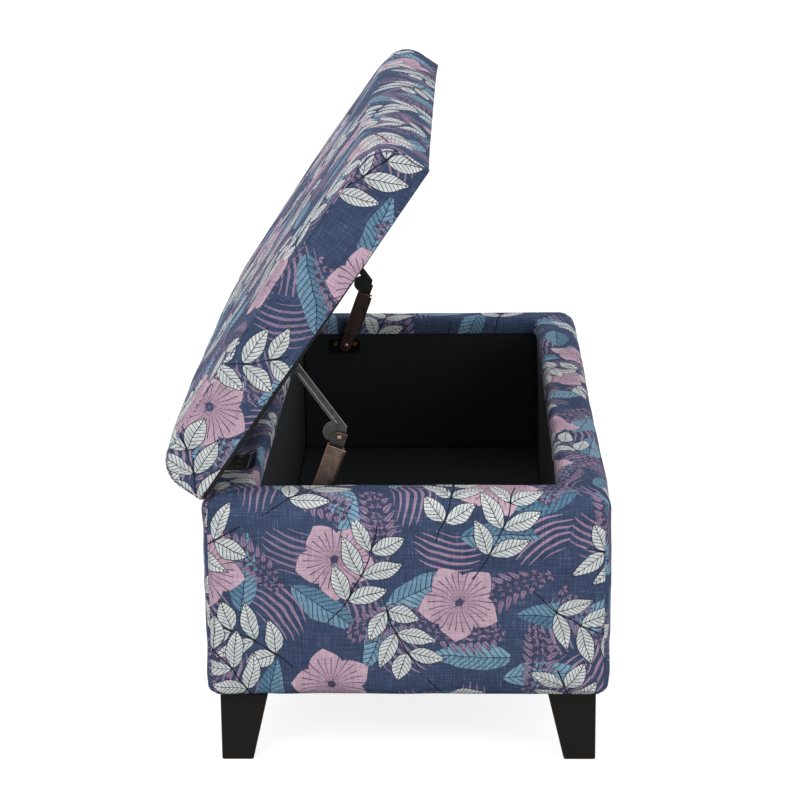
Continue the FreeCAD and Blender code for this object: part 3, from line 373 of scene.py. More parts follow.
# Linen-look polyester, plain weave, screen printed: matt, with thick and thin threads showing both ways.
# Real threads are about 0.5 mm; they are drawn 1.9 mm apart so that they show at this distance.
def printedLinen():
    material, tree = startMaterial("printed_linen_weave")
    uv = add(tree, "UVMap", uv_map="cloth")
    flat = add(tree, "VectorMath", {0: uv, "Scale": 1000.0}, operation="SCALE")
    wander = add(tree, "TexNoise", {"Vector": flat, "Scale": 1 / linen["wander"], "Detail": 1.0}, "Color")
    wander = add(tree, "VectorMath", {0: wander, 1: (0.5, 0.5, 0.5)}, operation="SUBTRACT")
    strength = (linen["wanderBy"], linen["wanderBy"], 0.0)
    drawn = add(tree, "VectorMath", {0: wander, 1: strength, 2: flat}, operation="MULTIPLY_ADD")
    patch = add(tree, "TexNoise", {"Vector": flat, "Scale": 1 / linen["patch"], "Detail": 2.0})
    grounds = {0: patch, 6: tint(linen["ground"]), 7: tint(linen["groundDeep"])}
    colour = add(tree, "Mix", grounds, 2, data_type="RGBA")
    for spots, sums, *inks in printOrder:
        colour = stamp(tree, colour, drawn, spots, sums, *[tint(linen[ink]) for ink in inks])
    fine = 1 / linen["slub"]
    drawnOut = 1 / linen["slubLong"]
    across = add(tree, "Mapping", {"Vector": flat, "Scale": (drawnOut, fine, 1.0)})
    upward = add(tree, "Mapping", {"Vector": flat, "Location": (7.3, 2.9, 0),
                                   "Scale": (fine, drawnOut, 1.0)})
    weft = add(tree, "TexNoise", {"Vector": across, "Scale": 1.0, "Detail": 2.0, "Roughness": 0.6})
    warp = add(tree, "TexNoise", {"Vector": upward, "Scale": 1.0, "Detail": 2.0, "Roughness": 0.6})
    weave = add(tree, "Math", {0: weft, 1: warp}, operation="ADD")
    shade = add(tree, "MapRange", {"Value": weave, "From Min": 0.7, "From Max": 1.3, "To Min": 0.66,
                                   "To Max": 1.3})
    shaded = add(tree, "VectorMath", {0: colour, "Scale": shade}, operation="SCALE")
    thread = add(tree, "MapRange", {"Value": weave, "From Min": 1.14, "From Max": 1.34, "To Max": 0.32})
    worn = add(tree, "Mix", {0: thread, 6: shaded, 7: tint(linen["bareThread"])}, 2, data_type="RGBA")
    bump = add(tree, "Bump", {"Height": weave, "Strength": 0.45, "Distance": 0.0007})
    surface = add(tree, "BsdfPrincipled", {"Base Color": worn, "Roughness": 0.92, "Normal": bump,
                                           "Specular IOR Level": 0.1})
    add(tree, "OutputMaterial", {"Surface": surface})
    return material


# Black lining: thin non-woven polypropylene, spunbonded: soft black with a faint pressed dot grain.
def blackLining():
    material, tree = startMaterial("black_nonwoven_lining")
    place = add(tree, "TexCoord", out="Object")
    fibre = add(tree, "TexNoise", {"Vector": place, "Scale": 420.0, "Detail": 3.0})
    dots = add(tree, "TexVoronoi", {"Vector": place, "Scale": 260.0, "Randomness": 0.2})
    height = add(tree, "Math", {0: fibre, 1: dots}, operation="ADD")
    colour = add(tree, "Mix", {0: fibre, 6: tint("#181a1c"), 7: tint("#282a2d")}, 2, data_type="RGBA")
    bump = add(tree, "Bump", {"Height": height, "Strength": 0.3, "Distance": 0.0004})
    surface = add(tree, "BsdfPrincipled", {"Base Color": colour, "Roughness": 0.9, "Normal": bump,
                                           "Specular IOR Level": 0.2})
    add(tree, "OutputMaterial", {"Surface": surface})
    return material


# Leg: rubberwood block, sprayed and rubbed black lacquer: satin, with long grain just felt, edges softened.
def blackLacquer():
    material, tree = startMaterial("black_lacquered_rubberwood")
    place = add(tree, "TexCoord", out="Object")
    grainAt = add(tree, "Mapping", {"Vector": place, "Scale": (260.0, 260.0, 14.0)})
    grain = add(tree, "TexNoise", {"Vector": grainAt, "Scale": 1.0, "Detail": 4.0})
    colour = add(tree, "Mix", {0: grain, 6: tint("#0d0c0b"), 7: tint("#1b1917")}, 2, data_type="RGBA")
    rough = add(tree, "MapRange", {"Value": grain, "To Min": 0.36, "To Max": 0.52})
    soft = add(tree, "Bevel", {"Radius": 0.0015}, samples=6)
    bump = add(tree, "Bump", {"Height": grain, "Strength": 0.2, "Distance": 0.0005, "Normal": soft})
    surface = add(tree, "BsdfPrincipled", {"Base Color": colour, "Roughness": rough, "Normal": bump,
                                           "Specular IOR Level": 0.11})
    add(tree, "OutputMaterial", {"Surface": surface})
    return material


# Plated sheet steel: stamped, plated and darkened: dull mottled faces; the edges are mixed toward a lighter
# edge colour, partly rubbed wear and partly a painted highlight.
def platedSteel(name, face, deep, edge, rough, rubbed):   # rubbed: width in mm of the lighter edges, partly rubbed wear and partly painted highlight
    material, tree = startMaterial(name)
    place = add(tree, "TexCoord", out="Object")
    mottle = add(tree, "TexNoise", {"Vector": place, "Scale": 130.0, "Detail": 5.0, "Roughness": 0.65})
    brushed = add(tree, "Mapping", {"Vector": place, "Scale": (900.0, 900.0, 60.0)})
    scratch = add(tree, "TexNoise", {"Vector": brushed, "Scale": 1.0, "Detail": 2.0})
    blotch = add(tree, "MapRange", {"Value": mottle, "From Min": 0.35, "From Max": 0.65})
    colour = add(tree, "Mix", {0: blotch, 6: tint(deep), 7: tint(face)}, 2, data_type="RGBA")
    soft = add(tree, "Bevel", {"Radius": rubbed / 1000}, samples=8)
    facing = add(tree, "NewGeometry", out="Normal")
    flat = add(tree, "VectorMath", {0: soft, 1: facing}, "Value", operation="DOT_PRODUCT")
    # painted highlight and wear: where the bevelled normal turns away from the face's own normal, the colour
    # is mixed toward the lighter edge colour
    wearAndHighlight = add(tree, "MapRange", {"Value": flat, "From Min": 0.985, "From Max": 0.86, "To Max": 0.85})
    colour = add(tree, "Mix", {0: wearAndHighlight, 6: colour, 7: tint(edge)}, 2, data_type="RGBA")
    gloss = add(tree, "MapRange", {"Value": scratch, "To Min": rough - 0.1, "To Max": rough + 0.14})
    bump = add(tree, "Bump", {"Height": scratch, "Strength": 0.12, "Distance": 0.0003, "Normal": soft})
    surface = add(tree, "BsdfPrincipled", {"Base Color": colour, "Metallic": 0.9, "Roughness": gloss,
                                           "Normal": bump})
    add(tree, "OutputMaterial", {"Surface": surface})
    return material


# Sawn pine rails, pressed board and cut foam inside: pale, matt, with grain lines, chips or pores.
def sawnWood(name, light, dark, scale):
    material, tree = startMaterial(name)
    place = add(tree, "TexCoord", out="Object")
    grainAt = add(tree, "Mapping", {"Vector": place, "Scale": scale})
    grain = add(tree, "TexNoise", {"Vector": grainAt, "Scale": 1.0, "Detail": 5.0, "Distortion": 0.6})
    colour = add(tree, "Mix", {0: grain, 6: tint(light), 7: tint(dark)}, 2, data_type="RGBA")
    bump = add(tree, "Bump", {"Height": grain, "Strength": 0.3, "Distance": 0.0006})
    surface = add(tree, "BsdfPrincipled", {"Base Color": colour, "Roughness": 0.75, "Normal": bump})
    add(tree, "OutputMaterial", {"Surface": surface})
    return material


finish = {
    "printed_linen": printedLinen(),
    "black_lining": blackLining(),
    "leg_wood": blackLacquer(),
    "frame_wood": sawnWood("sawn_pine", "#d9b98a", "#a97f4e", (18.0, 160.0, 160.0)),
    "board": sawnWood("pressed_board", "#c7a67b", "#94744d", (220.0, 220.0, 220.0)),
    "padding": sawnWood("grey_foam", "#d8d3c6", "#bdb7a8", (600.0, 600.0, 600.0)),
    # the third colour of each plated finish is its lighter edge colour: partly rubbed wear, partly painted
    # highlight
    "zinc_steel": platedSteel("zinc_plated_steel", "#b9bcc0", "#9a9ea3", "#e2e4e6", 0.34, 0.5),
    "dark_bronze": platedSteel("dark_bronze_plate", "#464747", "#333434", "#a8a49b", 0.42, 0.9),
    "screw_brass": platedSteel("brass_plated_steel", "#8f7448", "#6b5430", "#c9ab74", 0.36, 0.3),
    "antique_copper": platedSteel("antique_copper_plate", "#68564f", "#4f423d", "#cf9f86", 0.42, 1.2),
    # rivet heads: lighter copper, partly rubbed bright and partly a painted highlight on the dome
    "bright_copper": platedSteel("rubbed_and_highlit_copper_rivet", "#9c7c6c", "#7a5f52", "#d9b9a5", 0.3, 0.4),
}
special = {   # stay pieces whose finish differs from the rest of their slot
    # tongue: dark face with copper-coloured edges, partly rubbed wear and partly painted highlight
    "tongue": platedSteel("copper_edged_steel", "#3b3c3c", "#2d2e2e", "#a97a63", 0.42, 1.3),
    # base plate: near-black face with slightly lighter edges, partly rubbed wear and partly painted
    # highlight
    "base_plate": platedSteel("near_black_steel", "#1c1a18", "#121110", "#3a332d", 0.5, 0.7),
}
for entry in frame["record"]["subparts"]:
    kind = entry["node"].split("stay_")[-1]
    for spot in frame["nodes"][entry["node"]].material_slots:
        spot.material = special.get(kind, finish[entry["material_slot"]])
print("materials made:", len(finish))

# Box cover: one cloth for each wall, from inside the rim, over it and down to the hem, sewn at the corners

box = {
    "roomX": 439.8, "roomY": 180.8, "middleY": -20, "wall": 60.2, "low": 86.8, "high": 336.8, "lip": 312.8,
    "lipRound": 12, "lipCorner": 18, "lipFade": 30, "rimRound": 18, "hemRound": 9, "sideRound": 18,
    "hemEnd": 30, "thick": 1.2, "bulge": 2.2, "uneven": 0.5, "unevenLong": 130, "rimLong": 75,
    "unevenFade": 12, "tuck": 1.7, "tuckWide": 3.2, "pucker": 0.55, "puckerLong": 19, "puckerFade": 20,
    "lipBack": 0.3, "outerWide": 6, "leanFade": 6, "bulgeUp": 0.7, "bulgeAlong": 10,
    "rows": (7, 8, 9, 8, 30, 7, 5),   # points on each stretch of the profile
    "seam": (0, 1.5, 3, 4.6, 6.5, 9, 12, 16, 21, 27), "seamWide": 34,   # closer columns beside a seam
    "air": {"pressure": 2.5, "stiff": 40, "cap": 2.5, "heldRows": 7, "ceiling": 337.1, "knee": 1.5},
}
walls = {   # name: way out, columns, place of its print
    "front_cover": ((0, -1, 0), 96, (310, 6.8)),
    "back_cover": ((0, 1, 0), 150, (1830, 146.8)),
    "left_end_cover": ((-1, 0, 0), 60, (2905, 81.8)),
    "right_end_cover": ((1, 0, 0), 60, (3720, 216.8)),
}
press = {"fadeX": 11, "fadeY": 9, "clear": 1, "under": 0.4, "rimDeep": 40}


def hingeDip(points):   # cloth pressed down under the two hinge leaves on the back rim
    for leafNode in ("left_hinge_box_leaf", "right_hinge_box_leaf"):
        low, high = (np.array(corner) * 1000 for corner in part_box(leafNode))
        x, y, z = np.moveaxis(points, -1, 0)
        sideX = ease(x, low[0] - press["fadeX"], low[0] - press["clear"])
        sideX = sideX * (1 - ease(x, high[0] + press["clear"], high[0] + press["fadeX"]))
        sideY = ease(y, low[1] - press["fadeY"], low[1] - press["clear"])
        sunk = np.minimum(z, low[2] - press["under"])
        points[..., 2] += (sunk - z) * sideX * sideY * (z > box["high"] - press["rimDeep"])


def onWall(flat, out):   # a wall's own length, depth and height to places
    outward = np.array(out, float)
    sideways = np.cross(outward, (0, 0, 1))
    points = flat[..., :1] * sideways + flat[..., 1:2] * outward + flat[..., 2:] * np.array([0, 0, 1.0])
    points[..., 1] += box["middleY"]
    return points


def wallCover(name, out, columns, place):
    # the wall's profile is carried along its length; at depth d the line is straight, then half of a round
    # corner of radius d - (wall - sideRound), and stops at the seam on the diagonal; the lip turns the
    # room's corners in a round of radius lipCorner
    wall = box["wall"]
    low = box["low"]
    high = box["high"]
    rows = box["rows"]
    profile = chain(
        run((-box["lipBack"], box["lip"]), (0, high - box["lipRound"]), rows[0]),
        arc((box["lipRound"], high - box["lipRound"]), box["lipRound"], 180, 90, rows[1]),
        run((box["lipRound"], high), (wall - box["rimRound"], high), rows[2]),
        arc((wall - box["rimRound"], high - box["rimRound"]), box["rimRound"], 90, 0, rows[3]),
        run((wall, high - box["rimRound"]), (wall, low + box["hemRound"]), rows[4]),
        arc((wall - box["hemRound"], low + box["hemRound"]), box["hemRound"], 0, -90, rows[5]),
        run((wall - box["hemRound"], low), (box["hemEnd"], low), rows[6]))
    slope = np.gradient(profile, axis=0)
    slope /= np.linalg.norm(slope, axis=1, keepdims=True)
    inner = box["roomX"] if out[1] else box["roomY"]
    base = box["roomY"] if out[1] else box["roomX"]
    depth = profile[:, :1]
    straight = inner + np.minimum(depth, wall - box["sideRound"])
    bend = np.maximum(depth - (wall - box["sideRound"]), 0)
    total = straight + bend * math.pi / 4
    seam = np.array(box["seam"])
    inside = np.linspace(-1, 1, columns) * (total - box["seamWide"])
    path = np.concatenate([seam - total, inside, total - seam[::-1]], axis=1)
    far = np.abs(path)
    angle = np.clip((far - straight) / np.maximum(bend, 0.01), 0, math.pi / 4) * (bend > 0.01)
    along = np.where(far > straight, straight + bend * np.sin(angle), far) * np.sign(path)
    deep = np.where(far > straight, np.minimum(depth, wall - box["sideRound"]) + bend * np.cos(angle), depth)
    left = total - far
    lipCorner = box["lipCorner"]
    inset = lipCorner * (1 - math.sqrt(0.5))
    toCorner = left + inset * np.exp(-left / box["lipFade"])
    bite = lipCorner - np.sqrt(lipCorner ** 2 - np.maximum(lipCorner - toCorner, 0) ** 2)
    onLip = 1 - ease(depth, 0, box["lipRound"])
    along = along - onLip * (toCorner - left) * np.sign(path)
    deep = deep - onLip * bite
    arcLong = lengthsAlong(profile)[:, None] + 0 * path
    outer = ease(depth, wall - box["outerWide"], wall)
    upShare = np.clip((profile[:, 1:] - low) / (high - low), 0, 1)
    face = outer * np.sin(math.pi * upShare) ** box["bulgeUp"]
    puff = box["bulge"] * face * (1 - (far / total) ** box["bulgeAlong"])
    uneven = box["uneven"] * wavy(path, arcLong, box["unevenLong"], base) * outer
    uneven = uneven - box["uneven"] * (1 + wavy(path, arcLong, box["rimLong"], 2 * base)) * (1 - outer)
    puff = puff + uneven * (1 - np.exp(-left / box["unevenFade"]))
    ripple = np.sin(arcLong * 2 * math.pi / box["puckerLong"])
    puff = puff + box["pucker"] * ripple * np.exp(-left / box["puckerFade"])
    puff = puff - box["tuck"] * np.exp(-(left / box["tuckWide"]) ** 2)
    atSeam = np.exp(-left / box["leanFade"])   # both cloths meet on the seam's diagonal
    lean = np.where(bend > 0.01, np.sin(angle), atSeam)
    normal = np.stack([-slope[:, 1:] * lean * np.sign(path), -slope[:, 1:] * np.cos(angle),
                       slope[:, :1] + 0 * path], -1)
    flat = np.stack([along, deep + base, profile[:, 1:] + 0 * path], -1) + normal * puff[..., None]
    points = onWall(flat, out)
    if name == "back_cover":
        hingeDip(points)
    uv = np.stack([path + place[0], place[1] - arcLong], -1)
    piece = gridPiece("box_" + name, points, uv, "base", finish["printed_linen"])
    swell(piece, points.shape[:2], box["air"])
    clothFinish(piece, box["thick"])
    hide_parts(name)
    return piece


covers = {name: wallCover(name, *facts) for name, facts in walls.items()}
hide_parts("side_foam", "rim_foam")
print("box covers made:", len(covers))

# Lid cushion: a long cloth over front, top and back, two end caps and a black cloth under it

lid = {
    "halfLength": 500, "halfDepth": 237, "waist": 3.5, "low": 337.1, "corner": 38, "hemFront": 0.8,
    "hemBack": 4.6, "endEdge": 71.5, "endRise": 2, "midEdge": 75, "midRise": 5, "thick": 1.2,
    "crownPower": 4, "waistPower": 6, "uneven": 0.9, "unevenLong": 170, "seed": 1.7, "unevenFade": 25,
    "tuck": 1.8, "tuckWide": 3.2, "hemTuck": 1.0,
    "hemTuckWide": 4, "pucker": 0.7, "puckerLong": 23, "puckerFade": 26, "open": 55.5, "hingeY": 210.3,
    "hingeZ": 334.3, "seam": (0, 1.5, 3, 5, 7.5, 11, 16, 22, 30), "columns": 84, "columnsReach": 460,
    "place": (700, 2600), "air": {"pressure": 3.0, "stiff": 30, "cap": 4.0, "heldRows": 2},
}
lidEnd = {
    "setIn": 1.8, "bulge": 3.4, "uneven": 0.5, "unevenLong": 90, "seed": 4.1, "rows": 26,
    "place": (1350, 900), "apart": 480, "hemFrom": 0.05, "hemTo": 0.7,
}
underCloth = {
    "edge": 5.5, "inset": 1.0, "gap": 0.2, "slack": 0.5, "slackLong": 110, "seed": 5.5, "thick": 0.6,
    "columns": 60, "rows": 30,
}


def swingOpen(points):   # closed place to open place, about the hinge line
    angle = -math.radians(lid["open"])
    y = points[..., 1] - lid["hingeY"]
    z = points[..., 2] - lid["hingeZ"]
    turned = [points[..., 0], y * math.cos(angle) - z * math.sin(angle) + lid["hingeY"],
              y * math.sin(angle) + z * math.cos(angle) + lid["hingeZ"]]
    return np.stack(turned, -1)


def lidOutline(x):
    # outline across the lid at each x, from the front's lower edge over the top to the back's: upright
    # walls, quarter rounds and a top that rises as a parabola; the crown along x is 1 - share^crownPower
    share = np.abs(x) / lid["halfLength"]
    crown = 1 - share ** lid["crownPower"]
    half = lid["halfDepth"] - lid["waist"] * (1 - share ** lid["waistPower"])
    high = lid["low"] + lid["endEdge"] + crown * (lid["midEdge"] - lid["endEdge"])
    rise = lid["endRise"] + crown * (lid["midRise"] - lid["endRise"])
    corner = lid["corner"]
    start = lid["low"] + lid["hemFront"]
    backStart = lid["low"] + lid["hemBack"]
    upward = np.linspace(0, 1, 9)[:, None]
    round90 = np.radians(np.linspace(180, 90, 10))[1:, None]
    over = np.linspace(-1, 1, 40)[1:-1, None]
    y = np.concatenate([-half + 0 * upward, corner - half + corner * np.cos(round90),
                        over * (half - corner)])
    z = np.concatenate([start + upward * (high - corner - start), high - corner + corner * np.sin(round90),
                        high + rise * (1 - over ** 2)])
    wallRows = len(upward)
    turnRows = wallRows + len(round90)
    backWall = backStart + upward * (high - corner - backStart)
    y = np.concatenate([y, -y[turnRows - 1::-1]])
    z = np.concatenate([z, z[turnRows - 1:wallRows - 1:-1], backWall[::-1]])
    return y, z


def lidWrap():   # the outline carried along x, puffed along its own normal by waves, puckers and tucks
    seam = np.array(lid["seam"])
    middle = np.linspace(-lid["columnsReach"], lid["columnsReach"], lid["columns"])
    x = np.concatenate([seam - lid["halfLength"], middle, lid["halfLength"] - seam[::-1]])[None, :]
    y, z = lidOutline(x)
    x = x + 0 * y
    slopeY = np.gradient(y, axis=0)
    slopeZ = np.gradient(z, axis=0)
    size = np.hypot(slopeY, slopeZ)
    left = lid["halfLength"] - np.abs(x)
    arcLong = lengthsAlong(np.stack([y, z], -1))
    bottom = np.minimum(arcLong, arcLong[-1:] - arcLong)
    puff = lid["uneven"] * wavy(x, arcLong, lid["unevenLong"], lid["seed"])
    puff = puff * (1 - np.exp(-bottom / lid["unevenFade"]))
    puff = puff - lid["tuck"] * np.exp(-(left / lid["tuckWide"]) ** 2)
    ripple = np.sin(arcLong * 2 * math.pi / lid["puckerLong"] + np.sign(x))
    puff = puff + lid["pucker"] * ripple * np.exp(-left / lid["puckerFade"])
    puff = puff - lid["hemTuck"] * np.exp(-(bottom / lid["hemTuckWide"]) ** 2)
    points = np.stack([x, y - slopeZ / size * puff + box["middleY"], z + slopeY / size * puff], -1)
    uv = np.stack([x + lid["place"][0], arcLong + lid["place"][1]], -1)
    piece = gridPiece("lid_wrap", swingOpen(points), uv, "lid", finish["printed_linen"])
    swell(piece, points.shape[:2], lid["air"])
    clothFinish(piece, lid["thick"])
    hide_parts("lid_cover", "lid_foam")


def lidCap(name, side):
    # rows go from the lower edge to the outline above it; the cap stands out by the root of a bowl that is 0
    # at its rim, and its hem rises from front to back
    y, z = lidOutline(np.array([[side * lid["halfLength"]]], float))
    y = y[:, 0][None, :]
    z = z[:, 0][None, :]
    q = lengthsAlong(np.stack([y[0], z[0]], -1))[None, :]
    q = q / q[:, -1:]
    r = (1 - np.cos(np.linspace(0, math.pi, lidEnd["rows"])))[:, None] / 2
    hem = ease(q, lidEnd["hemFrom"], lidEnd["hemTo"])
    base = lid["low"] + lid["hemFront"] + hem * (lid["hemBack"] - lid["hemFront"])
    yy = r * y + (1 - r) * (2 * q - 1) * lid["halfDepth"]
    zz = r * z + (1 - r) * base
    bowl = np.clip(16 * r * (1 - r) * q * (1 - q), 0, 1)
    standOut = lid["halfLength"] - lidEnd["setIn"] + lidEnd["bulge"] * np.sqrt(bowl)
    uneven = lidEnd["uneven"] * wavy(yy, zz, lidEnd["unevenLong"], lidEnd["seed"] + side)
    standOut = standOut + uneven * np.sqrt(bowl)
    points = np.stack([side * standOut, yy + box["middleY"], zz], -1)
    uv = np.stack([-side * yy + lidEnd["place"][0] + lidEnd["apart"] * side, zz + lidEnd["place"][1]], -1)
    if side < 0:
        points = points[:, ::-1]
        uv = uv[:, ::-1]
    piece = gridPiece(name + "_cloth", swingOpen(points), uv, "lid", finish["printed_linen"])
    clothFinish(piece, lid["thick"])
    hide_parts(name)


def lidUnderCloth():
    # a flat sheet whose rim turns up in a quarter round; height is the larger of the two turns
    edge = underCloth["edge"]
    columns = underCloth["columns"]
    rows = underCloth["rows"]
    bendAngles = np.radians(np.linspace(90, 0, 6))
    rollOut = edge * np.sin(bendAngles)
    rollUp = edge * (1 - np.cos(bendAngles))
    flatX = lid["halfLength"] - underCloth["inset"] - edge
    middle = np.linspace(-flatX, flatX, columns)
    spanX = np.concatenate([-flatX - rollOut[:-1], middle, flatX + rollOut[-2::-1]])
    upX = np.concatenate([rollUp[:-1], np.zeros(columns), rollUp[-2::-1]])
    flatY = np.concatenate([1 + 0 * rollOut[:-1], np.linspace(1, -1, rows), -1 + 0 * rollOut[:-1]])
    outY = np.concatenate([rollOut[:-1], np.zeros(rows), -rollOut[-2::-1]])
    upY = np.concatenate([rollUp[:-1], np.zeros(rows), rollUp[-2::-1]])
    x = spanX[None, :] + 0 * flatY[:, None]
    share = np.abs(x) / lid["halfLength"]
    half = lid["halfDepth"] - lid["waist"] * (1 - share ** lid["waistPower"]) - underCloth["inset"] - edge
    y = flatY[:, None] * half + outY[:, None]
    lift = np.maximum(upX[None, :], upY[:, None])
    slack = underCloth["slack"] * (1 + wavy(x, y, underCloth["slackLong"], underCloth["seed"])) * (lift == 0)
    z = lid["low"] + underCloth["gap"] + lift + slack
    points = np.stack([x, y + box["middleY"], z], -1)
    piece = gridPiece("lid_under_cloth", swingOpen(points), None, "lid", finish["black_lining"])
    clothFinish(piece, underCloth["thick"])
    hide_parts("lid_dust_cover")


lidWrap()
lidCap("lid_left_end_cap", -1)
lidCap("lid_right_end_cap", 1)
lidUnderCloth()
print("lid made")

# Black cloth inside the room and under the box

lining = {
    "top": 323.0, "low": 127.5, "set": 0.5, "tuck": 0.8, "slack": 1.1, "slackLong": 160, "thick": 0.6,
    "longCount": 70, "shortCount": 34, "upCount": 22, "levelLong": 140,
}
levels = {   # name: node, half length, half width, height, sag, whether it faces up
    "room_floor_lining": ("floor_lining", 440.3, 181.3, 128.6, 0.8, True),
    "under_dust_cloth": ("base_dust_cover", 485, 226, 86.3, 2.5, False),
}


def liningWall(name, out):   # flat sheet against the wall, its slack waves away from the room
    inner = box["roomX"] if out[1] else box["roomY"]
    base = box["roomY"] if out[1] else box["roomX"]
    reach = inner + lining["set"]
    along = np.linspace(-reach, reach, lining["longCount" if out[1] else "shortCount"])[None, :]
    height = np.linspace(lining["low"], lining["top"], lining["upCount"])[:, None]
    along = along + 0 * height
    height = height + 0 * along
    fade = np.sin(math.pi * (height - lining["low"]) / (lining["top"] - lining["low"])) ** 0.5
    fade = fade * (1 - (along / reach) ** 20)
    slack = 0.5 + 0.5 * wavy(along, height, lining["slackLong"], base)
    deep = base + lining["set"] + lining["slack"] * slack * fade
    deep = deep + lining["tuck"] * ease(height, box["lip"] - 1, box["lip"] + 4)   # behind the cover's lip
    points = onWall(np.stack([along, deep, height], -1), out)
    piece = gridPiece("room_" + name, points, None, "base", finish["black_lining"])
    clothFinish(piece, lining["thick"])
    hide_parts(name)


def levelCloth(name, node, halfX, halfY, level, sag, faceUp):   # level sheet, sagging as a bowl
    x = np.linspace(-halfX, halfX, lining["longCount"])[None, :]
    y = np.linspace(-halfY, halfY, lining["shortCount"])[:, None] * (1 if faceUp else -1)
    x, y = x + 0 * y, y + 0 * x
    bowl = (1 - (x / halfX) ** 2) * (1 - (y / halfY) ** 2)
    z = level - bowl * sag * (0.8 + 0.2 * wavy(x, y, lining["levelLong"], level))
    points = np.stack([x, y + box["middleY"], z], -1)
    piece = gridPiece(name, points, None, "base", finish["black_lining"])
    clothFinish(piece, lining["thick"])
    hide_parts(node)


for name, facts in walls.items():
    liningWall(name.replace("cover", "lining"), facts[0])
for name, facts in levels.items():
    levelCloth(name, *facts)
print("linings made")

# Screws and rivets, turned pieces with a cross recess or a dome

screwShape = {
    "shank": 1.8, "head": 3.4, "sink": 1.4, "thread": 1.1, "threadDeep": 0.35, "recess": 0.95, "slot": 0.42,
    "cross": 1.9, "sides": 32,
}


def turnedPiece(name, places, ways, profile, body, slot, nodes, thread=None):
    # a profile of radius and height turned about each place's own way out; a screw has a cross pressed into
    # its head, and thread gives the heights between which its ripple climbs
    s = screwShape
    angle = np.linspace(0, 2 * math.pi, s["sides"], endpoint=False)[None, :]
    r = profile[0][:, None] + 0 * angle
    h = profile[1][:, None] + 0 * angle
    if thread:
        ripple = np.abs(((h / s["thread"] - angle / (2 * math.pi)) % 1) - 0.5) * 2
        rise = ease(h, thread[0], thread[0] + 1)
        fall = ease(h, thread[1] - 1, thread[1])
        r = r + s["threadDeep"] * (0.5 - ripple) * rise * (1 - fall)
        p = np.abs(r * np.cos(angle))
        q = np.abs(r * np.sin(angle))
        slots = np.exp(-(np.minimum(p, q) / s["slot"]) ** 4) * (h > -0.01)
        h = h - s["recess"] * slots * (1 - ease(np.maximum(p, q), s["cross"] - 0.3, s["cross"]))
    rows, columns = r.shape
    index = np.arange(rows * columns).reshape(rows, columns)
    index = np.concatenate([index, index[:, :1]], axis=1)
    ring = quadsOf(index)
    points = []
    quads = []
    for nth, (place, way) in enumerate(zip(places, ways)):
        way = np.array(way, float) / np.linalg.norm(way)
        first = np.cross(way, (1, 0, 0) if abs(way[0]) < 0.9 else (0, 1, 0))
        first /= np.linalg.norm(first)
        second = np.cross(way, first)
        local = (r * np.cos(angle))[..., None] * first + (r * np.sin(angle))[..., None] * second
        local = local + h[..., None] * way
        points.append(local.reshape(-1, 3) + np.array(place, float))
        quads.append(ring + nth * rows * columns)
    piece = meshPiece(name, np.concatenate(points), np.concatenate(quads), None, body, finish[slot])
    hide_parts(*nodes)


def screwProfile(reach):   # point, shank, cone under the head, flat head with rings for the recess
    s = screwShape
    shank = np.linspace(-reach + 2.5, -s["sink"] - 0.2, 40)
    radius = np.concatenate([[0.02, 0.5 * s["shank"]], 0 * shank + s["shank"], [s["head"] - 0.15, s["head"]],
                             np.linspace(s["head"] - 0.15, 0.02, 14)])
    height = np.concatenate([[-reach, -reach + 1.2], shank, [-0.15, -0.06], np.linspace(0, 0.12, 14)])
    return radius, height


def domeProfile(pin, dome, tall, reach, collar):   # a pin with a low dome on one end, a collar on the other
    angles = np.radians(np.linspace(-8, 89.5, 14))
    radius = np.concatenate([[0.02, collar, collar, pin, pin], dome * np.cos(angles)])
    height = np.concatenate([[-reach, -reach, -reach + 1, -reach + 1, 0], tall * np.sin(angles)])
    return radius, height


hinge = {"place": 335, "apart": 22, "y": 189.3, "boxZ": 333.1, "lidZ": 335.5}
stay = {
    "plateX": 437.8, "baseY": 95.3, "baseZ": 294.8, "screwSide": 15, "screwUp": 3, "baseDomeX": 435.35,
    "elbowY": 60.34, "elbowZ": 389.56, "elbowDomeX": 429.5, "lidFront": 172.4, "lidDown": 3.6,
    "lidDomeX": 425.45, "earX": 406.8, "earSide": 16, "earZ": 335.6, "domeTall": 2.2,
}
ends = (-1, 1)
hingeXs = [end * hinge["place"] + step * hinge["apart"] for end in ends for step in (-1, 0, 1)]
axisPoint = np.array([0, lid["hingeY"], lid["hingeZ"]])
openWay = swingOpen(axisPoint - (0, 0, 1)) - axisPoint   # the lid's own way down, with the lid open
longScrew = screwProfile(reach=16)
longThread = (-14, -3)
shortScrew = screwProfile(reach=13)
shortThread = (-11, -3)
baseDome = domeProfile(pin=3, dome=5, tall=stay["domeTall"], reach=2.4, collar=5.5)
lidDome = domeProfile(pin=2.5, dome=3.4, tall=stay["domeTall"], reach=2.65, collar=2.5)
elbowDome = domeProfile(pin=2, dome=3.6, tall=stay["domeTall"], reach=4.05, collar=5)


def lidPlaces(front, down, xs):   # places in front of the hinge line and below it, swung open
    return swingOpen(np.array([(x, lid["hingeY"] - front, lid["hingeZ"] - down) for x in xs], float))


